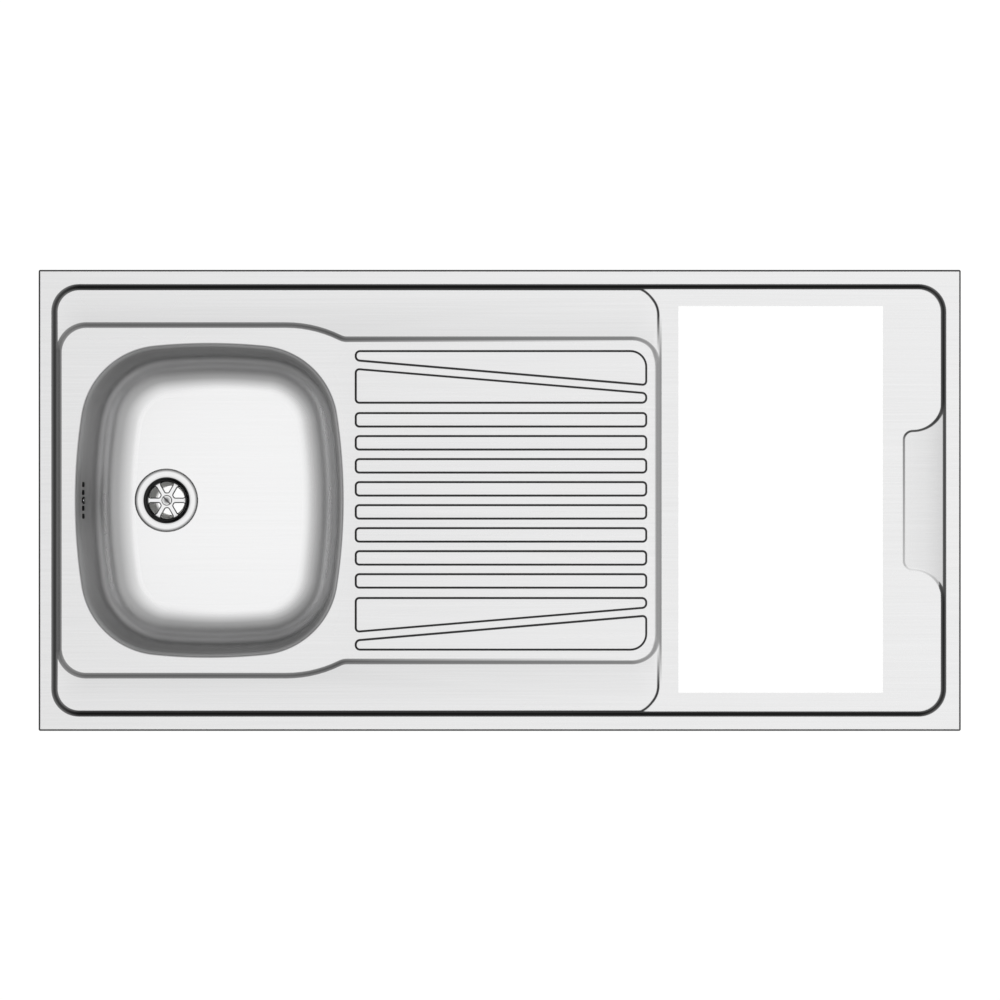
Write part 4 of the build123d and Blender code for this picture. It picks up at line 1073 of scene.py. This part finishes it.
def brushed_group():
    """Fine brushed lines along X, broader cloudy bands, and painted shade on the slopes between the
    flats.
    """
    inputs = [("Strength", "NodeSocketFloat", 0.03), ("Slope shade", "NodeSocketFloat", 0.5)]
    inputs += [("Flat roughness", "NodeSocketFloat", 0.3)]
    inputs += [("Slope roughness", "NodeSocketFloat", 0.2)]
    tree, start, end = group_of("Brushed steel with painted slope shade", inputs, ("Shade", "Roughness", "Height"))
    fine = stretched_noise(tree, (9.0, 1400.0, 1400.0), 3.0)
    broad = stretched_noise(tree, (3.0, 420.0, 420.0), 2.0)
    cloud = stretched_noise(tree, (5.0, 7.0, 7.0), 2.0)
    both = blended(tree, fine, 0.55, broad, 0.45)
    shade = spread(tree, both, maths(tree, "SUBTRACT", 1.0, start.outputs["Strength"]), 1.0)
    shade = maths(tree, "MULTIPLY", shade, spread(tree, cloud, 0.985, 1.0))
    # Painted shade: the pressed attribute darkens the colour of slopes, standing in for the dark
    # surroundings they reflect.
    pressed = add(tree, "ShaderNodeAttribute", attribute_name="pressed").outputs["Fac"]
    slope = spread(tree, pressed, 1.0, start.outputs["Slope shade"], 0.0, 1.0)
    tree.links.new(maths(tree, "MULTIPLY", shade, slope), end.inputs["Shade"])
    flat, steep = start.outputs["Flat roughness"], start.outputs["Slope roughness"]
    rough = spread(tree, pressed, flat, steep, 0.0, 1.0)
    rough = maths(tree, "ADD", rough, spread(tree, cloud, -0.02, 0.02))
    tree.links.new(rough, end.inputs["Roughness"])
    tree.links.new(both, end.inputs["Height"])
    return tree


def mottle_group():
    """Uneven surface of moulded, plated, cast or rolled goods: fine grit over broader clouds."""
    inputs = [("Size", "NodeSocketFloat", 400.0), ("Strength", "NodeSocketFloat", 0.05)]
    inputs += [("Base roughness", "NodeSocketFloat", 0.4)]
    inputs += [("Roughness spread", "NodeSocketFloat", 0.08)]
    tree, start, end = group_of("Mottled surface", inputs, ("Shade", "Roughness", "Height"))
    size = start.outputs["Size"]
    grit = stretched_noise(tree, (1.0, 1.0, 1.0), 4.0, size)
    cloud = stretched_noise(tree, (1.0, 1.0, 1.0), 2.0, maths(tree, "MULTIPLY", size, 0.08))
    both = blended(tree, grit, 0.5, cloud, 0.5)
    low = maths(tree, "SUBTRACT", 1.0, start.outputs["Strength"])
    tree.links.new(spread(tree, both, low, 1.0), end.inputs["Shade"])
    uneven = spread(tree, cloud, -1.0, 1.0)
    uneven = maths(tree, "MULTIPLY", uneven, start.outputs["Roughness spread"])
    rough = maths(tree, "ADD", start.outputs["Base roughness"], uneven)
    tree.links.new(rough, end.inputs["Roughness"])
    tree.links.new(grit, end.inputs["Height"])
    return tree


def timber_group():
    """Sawn softwood: year rings stretched along the grain, pores and a little unevenness."""
    inputs = [("Place", "NodeSocketVector", (0.0, 0.0, 0.0))]
    tree, start, end = group_of("Sawn timber", inputs, ("Rings", "Roughness", "Height"))
    where = start.outputs["Place"]
    warp = stretched_noise(tree, (1.6, 22.0, 22.0), 3.0, where=where)
    pores = stretched_noise(tree, (14.0, 900.0, 900.0), 3.0, where=where)
    bands = maths(tree, "SINE", maths(tree, "MULTIPLY", warp, 60.0), 0.0)
    rings = spread(tree, bands, 0.0, 1.0, -1.0, 1.0)
    tree.links.new(blended(tree, rings, 0.7, pores, 0.3), end.inputs["Rings"])
    tree.links.new(spread(tree, pores, 0.55, 0.75), end.inputs["Roughness"])
    tree.links.new(pores, end.inputs["Height"])
    return tree


def surface(name, group, values, colour, metallic, bump, depth, dark=None):
    """Material whose colour, roughness and bump come from one of the groups.

    A dark colour is given where the group's first output mixes two colours, not shades one.
    """
    material = bpy.data.materials.new(name)
    material.use_nodes = True
    tree = material.node_tree
    shader = tree.nodes["Principled BSDF"]
    shader.inputs["Metallic"].default_value = metallic
    node = add(tree, "ShaderNodeGroup", node_tree=group)
    for label, value in values.items():
        node.inputs[label].default_value = value
    if dark:
        base = mixed(tree, node.outputs[0], (*colour, 1.0), (*dark, 1.0))
    else:
        base = mixed(tree, 1.0, (*colour, 1.0), node.outputs[0], "MULTIPLY")
    tree.links.new(base, shader.inputs["Base Color"])
    tree.links.new(node.outputs["Roughness"], shader.inputs["Roughness"])
    relief = add(tree, "ShaderNodeBump")
    relief.inputs["Strength"].default_value = bump
    relief.inputs["Distance"].default_value = depth
    tree.links.new(node.outputs["Height"], relief.inputs["Height"])
    tree.links.new(relief.outputs["Normal"], shader.inputs["Normal"])
    return material


def steel(name, finish, strength, roughness, slope_roughness, brightness):
    """Stainless steel of one finish, made once and shared."""
    made = bpy.data.materials.get(name)
    if made:
        return made
    group = bpy.data.node_groups.get("Brushed steel with painted slope shade") or brushed_group()
    values = {
        "Strength": strength,
        "Slope shade": finish.slope_shade,
        "Flat roughness": roughness,
        "Slope roughness": slope_roughness,
    }
    colour = [channel * brightness for channel in finish.steel_colour]
    return surface(name, group, values, colour, 1.0, 0.2, 0.00004)


def mottled(name, colour, size, strength, roughness, bump=0.2, metallic=0.0, uneven=0.08):
    """Plastic, rubber, bitumen or plated metal, made once and shared."""
    made = bpy.data.materials.get(name)
    if made:
        return made
    group = bpy.data.node_groups.get("Mottled surface") or mottle_group()
    values = {
        "Size": size,
        "Strength": strength,
        "Base roughness": roughness,
        "Roughness spread": uneven,
    }
    return surface(name, group, values, colour, metallic, bump, 0.0002)


def timber(name, finish, turn):
    """Sawn timber whose grain runs along X, or turned to run along Y."""
    group = bpy.data.node_groups.get("Sawn timber") or timber_group()
    rings = finish.timber_ring_colour
    material = surface(name, group, {}, finish.timber_colour, 0.0, 0.35, 0.0003, rings)
    tree = material.node_tree
    mapping = add(tree, "ShaderNodeMapping")
    mapping.inputs["Rotation"].default_value = (0.0, 0.0, turn)
    tree.links.new(add(tree, "ShaderNodeTexCoord").outputs["Object"], mapping.inputs["Vector"])
    group_node = next(node for node in tree.nodes if node.type == "GROUP")
    tree.links.new(mapping.outputs["Vector"], group_node.inputs["Place"])
    return material


def white_plastic(finish):
    grain = {"size": 700.0, "strength": 0.03, "roughness": 0.38}
    return mottled("white_plastic", finish.plastic_colour, **grain)


def black_rubber(finish):
    grain = {"size": 900.0, "strength": 0.35, "roughness": 0.72, "bump": 0.3}
    return mottled("black_rubber", finish.rubber_colour, **grain)


def zinc(finish):
    grain = {"size": 500.0, "strength": 0.14, "roughness": 0.4, "bump": 0.15, "uneven": 0.12}
    return mottled("zinc_plating", finish.zinc_colour, metallic=1.0, **grain)


# ---- stage ----
def make_stage(settings):
    """Camera straight above the spill rim, the floor, the dome and the plain view transform."""
    scene = bpy.context.scene
    camera = bpy.data.cameras.new("camera")
    camera.sensor_width = SENSOR
    camera.lens = SENSOR * settings.camera_distance / settings.framed_width
    camera.clip_end = 100.0
    eye = bpy.data.objects.new("camera", camera)
    eye.location = (CAMERA_X * MM, CAMERA_Y * MM, RIM_Z * MM + settings.camera_distance)
    scene.collection.objects.link(eye)
    scene.camera = eye
    make_floor(settings)
    make_world()
    scene.view_settings.view_transform = "Standard"


def make_floor(settings):
    """Light table under the object, which keeps a faint shadow and isn't there from below."""
    bm = bmesh.new()
    bmesh.ops.create_grid(bm, x_segments=1, y_segments=1, size=FLOOR_HALF * MM)
    bmesh.ops.translate(bm, verts=bm.verts, vec=(0, 0, cad_box[0].z - FLOOR_GAP * MM))
    mesh = bpy.data.meshes.new("floor")
    bm.to_mesh(mesh)
    bm.free()
    floor = bpy.data.objects.new("floor", mesh)
    bpy.context.scene.collection.objects.link(floor)
    material = bpy.data.materials.new("floor_white")
    material.use_nodes = True
    tree = material.node_tree
    tree.nodes.clear()
    out = add(tree, "ShaderNodeOutputMaterial")
    faint = add(tree, "ShaderNodeBsdfDiffuse")
    faint.inputs["Color"].default_value = (FLOOR_DIFFUSE, FLOOR_DIFFUSE, FLOOR_DIFFUSE, 1)
    glow = add(tree, "ShaderNodeEmission")
    glow.inputs["Strength"].default_value = settings.floor_glow
    both = add(tree, "ShaderNodeAddShader")
    tree.links.new(faint.outputs[0], both.inputs[0])
    tree.links.new(glow.outputs[0], both.inputs[1])
    below = add(tree, "ShaderNodeMixShader")
    tree.links.new(add(tree, "ShaderNodeNewGeometry").outputs["Backfacing"], below.inputs["Fac"])
    tree.links.new(both.outputs[0], below.inputs[1])
    tree.links.new(add(tree, "ShaderNodeBsdfTransparent").outputs[0], below.inputs[2])
    tree.links.new(below.outputs[0], out.inputs["Surface"])
    mesh.materials.append(material)


def make_world():
    """Studio dome: a bright ceiling over darker walls, the side walls darker than the ends.

    It lights the object, brighter from +X, and shows in the steel. The camera sees plain white.
    """
    world = bpy.data.worlds.new("studio")
    bpy.context.scene.world = world
    world.use_nodes = True
    tree = world.node_tree
    background = tree.nodes["Background"]
    split = add(tree, "ShaderNodeSeparateXYZ")
    tree.links.new(add(tree, "ShaderNodeTexCoord").outputs["Generated"], split.inputs[0])
    x, y, z = split.outputs

    def walls(stops):
        ramp = add(tree, "ShaderNodeValToRGB")
        elements = ramp.color_ramp.elements
        for spot, (place, value) in enumerate(stops):
            stop = elements[spot] if spot < 2 else elements.new(place)
            stop.position = place
            stop.color = (value, value, value, 1)
        tree.links.new(z, ramp.inputs["Fac"])
        return ramp.outputs["Color"]

    square = maths(tree, "MULTIPLY", x, x)
    level = maths(tree, "ADD", square, maths(tree, "MULTIPLY", y, y))
    share = maths(tree, "DIVIDE", square, maths(tree, "ADD", level, 1e-6), True)
    dome = mixed(tree, share, walls(END_WALLS), walls(SIDE_WALLS))
    tilt = maths(tree, "ADD", maths(tree, "MULTIPLY", x, DOME_TILT), 1.0)
    seen = add(tree, "ShaderNodeLightPath").outputs["Is Camera Ray"]
    tree.links.new(mixed(tree, seen, dome, (1, 1, 1, 1)), background.inputs["Color"])
    strength = spread(tree, seen, tilt, 1.0, 0.0, 1.0)
    tree.links.new(strength, background.inputs["Strength"])


# ---- sizes and finishes that a user would change ----
def length(name, description, default):
    settings = {"unit": "LENGTH", "precision": 5}
    return bpy.props.FloatProperty(name=name, description=description, default=default, **settings)


def colour(name, description, default):
    return bpy.props.FloatVectorProperty(
        name=name, description=description, default=default, subtype="COLOR"
    )


def share(name, description, default):
    settings = {"subtype": "FACTOR", "min": 0, "max": 1}
    return bpy.props.FloatProperty(name=name, description=description, default=default, **settings)


class SinkSizes(bpy.types.PropertyGroup):
    press_blend: length("Step rounding", "How softly the pressed steps bend", 0.0014)
    rib_blend: length("Rib rounding", "How softly the drainer ribs bend", 0.00025)
    sheet: length("Sheet", "Thickness of the top and of the bowl", 0.0008)
    strainer_sheet: length("Strainer sheet", "Thickness of the strainer's sheet", 0.001)
    timber_edge: length("Timber edge", "Width of the broken edges of the timber", 0.0008)
    metal_edge: length("Metal edge", "Width of the broken edges of brackets and lugs", 0.00025)


class SinkFinish(bpy.types.PropertyGroup):
    steel_colour: colour("Steel", "Colour of the stainless steel", (0.85, 0.85, 0.853))
    top_roughness: share("Top roughness", "How dull the brushed top is", 0.26)
    bowl_roughness: share("Bowl roughness", "How dull the satin bowl is", 0.24)
    slope_shade: share("Slope shade", "How bright fully marked slopes are beside the flats", 0.07)
    plastic_colour: colour("Plastic", "Colour of the waste and overflow fittings", (0.9, 0.9, 0.89))
    rubber_colour: colour("Rubber", "Colour of the seals", (0.02, 0.02, 0.021))
    bitumen_colour: colour("Bitumen", "Colour of the sound-deadening pads", (0.035, 0.035, 0.038))
    zinc_colour: colour("Zinc", "Colour of the brackets, lugs and screws", (0.62, 0.63, 0.645))
    brass_colour: colour("Brass", "Colour of the waste nut", (0.78, 0.56, 0.25))
    timber_colour: colour("Timber", "Pale wood between the year rings", (0.62, 0.42, 0.23))
    timber_ring_colour: colour("Year rings", "Darker wood of the year rings", (0.40, 0.23, 0.10))


class SinkStage(bpy.types.PropertyGroup):
    camera_distance: length("Camera distance", "From the spill rim up to the camera", 4.2)
    framed_width: length("Framed width", "Width in view at the spill rim", 1.3008)
    floor_glow: share("Floor brightness", "How bright the light table under the object is", 0.94)


class SINK_OT_stage(bpy.types.Operator):
    """Make the camera, the floor and the studio light"""

    bl_idname = "sink.stage"
    bl_label = "Stage"

    def execute(self, context):
        make_stage(context.scene.sink_stage)
        return {"FINISHED"}


def top_steel(finish):
    grain = {"strength": 0.06, "slope_roughness": 0.14, "brightness": 0.985}
    return steel("brushed_steel", finish, roughness=finish.top_roughness, **grain)


def bright_steel(finish):
    grain = {"strength": 0.02, "slope_roughness": 0.16, "brightness": 1.06}
    return steel("bright_steel", finish, roughness=0.2, **grain)


class SINK_OT_top(bpy.types.Operator):
    """Make the pressed top sheet"""

    bl_idname = "sink.top"
    bl_label = "Top sheet"

    def execute(self, context):
        make_top_sheet(context.scene.sink_sizes, top_steel(context.scene.sink_finish))
        return {"FINISHED"}


class SINK_OT_bowl(bpy.types.Operator):
    """Make the drawn bowl"""

    bl_idname = "sink.bowl"
    bl_label = "Bowl"

    def execute(self, context):
        finish = context.scene.sink_finish
        grain = {"strength": 0.03, "slope_roughness": 0.5, "brightness": 1.1}
        satin = steel("satin_steel", finish, roughness=finish.bowl_roughness, **grain)
        make_bowl(context.scene.sink_sizes, satin)
        return {"FINISHED"}


class SINK_OT_strainer(bpy.types.Operator):
    """Make the strainer"""

    bl_idname = "sink.strainer"
    bl_label = "Strainer"

    def execute(self, context):
        make_strainer(context.scene.sink_sizes, bright_steel(context.scene.sink_finish))
        return {"FINISHED"}


class SINK_OT_fitting_screws(bpy.types.Operator):
    """Make the screws in the strainer and in the overflow"""

    bl_idname = "sink.fitting_screws"
    bl_label = "Waste and overflow screws"

    def execute(self, context):
        bright = bright_steel(context.scene.sink_finish)
        make_waste_screw(bright)
        make_overflow_screw(bright)
        return {"FINISHED"}


class SINK_OT_waste(bpy.types.Operator):
    """Make the waste body under the bowl and the nut in its hub"""

    bl_idname = "sink.waste"
    bl_label = "Waste body"

    def execute(self, context):
        finish, sizes = context.scene.sink_finish, context.scene.sink_sizes
        make_waste_body(white_plastic(finish))
        grain = {"size": 400.0, "strength": 0.1, "roughness": 0.32, "bump": 0.1}
        brass = mottled("brass", finish.brass_colour, metallic=1.0, **grain)
        softened("waste_nut", sizes.metal_edge / MM, brass)
        return {"FINISHED"}


class SINK_OT_overflow(bpy.types.Operator):
    """Make the overflow head behind the bowl's slots, its pipe and the pipe's nuts"""

    bl_idname = "sink.overflow"
    bl_label = "Overflow"

    def execute(self, context):
        plastic = white_plastic(context.scene.sink_finish)
        softened("overflow_head", 0.6, plastic)
        make_overflow_pipe(plastic)
        make_pipe_nut("upper_pipe_nut", (PIPE_X, 0, SOCKET_FOOT + NUT_COVER), (0, 0, -1), plastic)
        make_pipe_nut("lower_pipe_nut", (INLET_END + NUT_COVER, 0, PIPE_Z), (-1, 0, 0), plastic)
        return {"FINISHED"}


class SINK_OT_seals(bpy.types.Operator):
    """Make the rubber seals of the waste, the overflow and the pipe"""

    bl_idname = "sink.seals"
    bl_label = "Seals"

    def execute(self, context):
        rubber = black_rubber(context.scene.sink_finish)
        waste, up, along = (WASTE_X, 0.0, 0.0), (0, 0, 1), (1, 0, 0)
        recess = (40.25, 31.0, RECESS_Z, RECESS_Z + 1.0, waste, up)
        under = (BODY_FLANGE, 32.0, BODY_TOP, BODY_TOP + 3.0, waste, up)
        ring = (SOCKET_RADIUS, PIPE_RADIUS, -4.0, 0.0)
        upper = ring + ((PIPE_X, 0.0, SOCKET_FOOT), up)
        lower = ring + ((INLET_END, 0.0, PIPE_Z), along)
        make_ring_seals("recess_seal_ring", "recess_seal", [recess], rubber)
        make_ring_seals("under_seal_ring", "under_seal", [under], rubber)
        make_ring_seals("pipe_seal_rings", "pipe_seals", [upper, lower], rubber)
        softened("overflow_seal", 0.4, rubber)
        return {"FINISHED"}


class SINK_OT_pads(bpy.types.Operator):
    """Make the sound-deadening pads under the bowl and the drainer"""

    bl_idname = "sink.pads"
    bl_label = "Pads"

    def execute(self, context):
        finish = context.scene.sink_finish
        grain = {"size": 260.0, "strength": 0.35, "roughness": 0.8, "bump": 0.6}
        bitumen = mottled("bitumen", finish.bitumen_colour, **grain)
        for node in ("bowl_pad", "drainer_pad"):
            softened(node, 0.5, bitumen)
        return {"FINISHED"}


class SINK_OT_timber(bpy.types.Operator):
    """Make the battens in the folded skirt and the bars across them"""

    bl_idname = "sink.timber"
    bl_label = "Timber frame"

    def execute(self, context):
        finish, sizes = context.scene.sink_finish, context.scene.sink_sizes
        along = timber("timber_along", finish, 0.0)
        across = timber("timber_across", finish, pi / 2)
        for node in ("rear_batten", "front_batten"):
            softened(node, sizes.timber_edge / MM, along)
        crossbars = ("bowl_crossbar", "hob_crossbar_left", "hob_crossbar_right")
        for node in ("left_batten", "right_batten") + crossbars:
            softened(node, sizes.timber_edge / MM, across)
        return {"FINISHED"}


class SINK_OT_brackets(bpy.types.Operator):
    """Make the crossbar brackets, their screws and the earthing tab"""

    bl_idname = "sink.brackets"
    bl_label = "Brackets and earthing tab"

    def execute(self, context):
        plated = zinc(context.scene.sink_finish)
        edge = context.scene.sink_sizes.metal_edge / MM
        softened("crossbar_brackets", edge, plated)
        softened("bracket_screws", edge * 0.4, plated)
        softened("earth_tab", edge, top_steel(context.scene.sink_finish))
        return {"FINISHED"}


class SINK_OT_lugs(bpy.types.Operator):
    """Make the swinging lugs and the screws that they hang from"""

    bl_idname = "sink.lugs"
    bl_label = "Fixing lugs"

    def execute(self, context):
        plated = zinc(context.scene.sink_finish)
        edge = context.scene.sink_sizes.metal_edge / MM
        for lug in ("lug_left_front", "lug_left_rear", "lug_right_front", "lug_right_rear"):
            softened(lug, edge, plated, lug)
        softened("lug_screws", edge * 0.4, plated)
        return {"FINISHED"}


class SINK_PT_panel(bpy.types.Panel):
    """Sizes and finishes of the sink, and a button for each group of pieces"""

    bl_idname = "SINK_PT_panel"
    bl_label = "Kitchen sink"
    bl_space_type = "VIEW_3D"
    bl_region_type = "UI"
    bl_category = "Sink"

    def draw(self, context):
        scene = context.scene
        for settings in (scene.sink_sizes, scene.sink_finish, scene.sink_stage):
            for name in type(settings).__annotations__:
                self.layout.prop(settings, name)
        for operator in OPERATORS:
            self.layout.operator(operator.bl_idname)


OPERATORS = (
    SINK_OT_stage,
    SINK_OT_top,
    SINK_OT_bowl,
    SINK_OT_strainer,
    SINK_OT_fitting_screws,
    SINK_OT_waste,
    SINK_OT_overflow,
    SINK_OT_seals,
    SINK_OT_pads,
    SINK_OT_timber,
    SINK_OT_brackets,
    SINK_OT_lugs,
)
CLASSES = (SinkSizes, SinkFinish, SinkStage) + OPERATORS + (SINK_PT_panel,)


def register():
    for item in CLASSES:
        bpy.utils.register_class(item)
    bpy.types.Scene.sink_sizes = bpy.props.PointerProperty(type=SinkSizes)
    bpy.types.Scene.sink_finish = bpy.props.PointerProperty(type=SinkFinish)
    bpy.types.Scene.sink_stage = bpy.props.PointerProperty(type=SinkStage)


def unregister():
    del bpy.types.Scene.sink_sizes
    del bpy.types.Scene.sink_finish
    del bpy.types.Scene.sink_stage
    for item in reversed(CLASSES):
        bpy.utils.unregister_class(item)


def main():
    register()
    for operator in OPERATORS:
        getattr(bpy.ops.sink, operator.bl_idname.split(".")[1])()


if __name__ == "__main__":
    main()
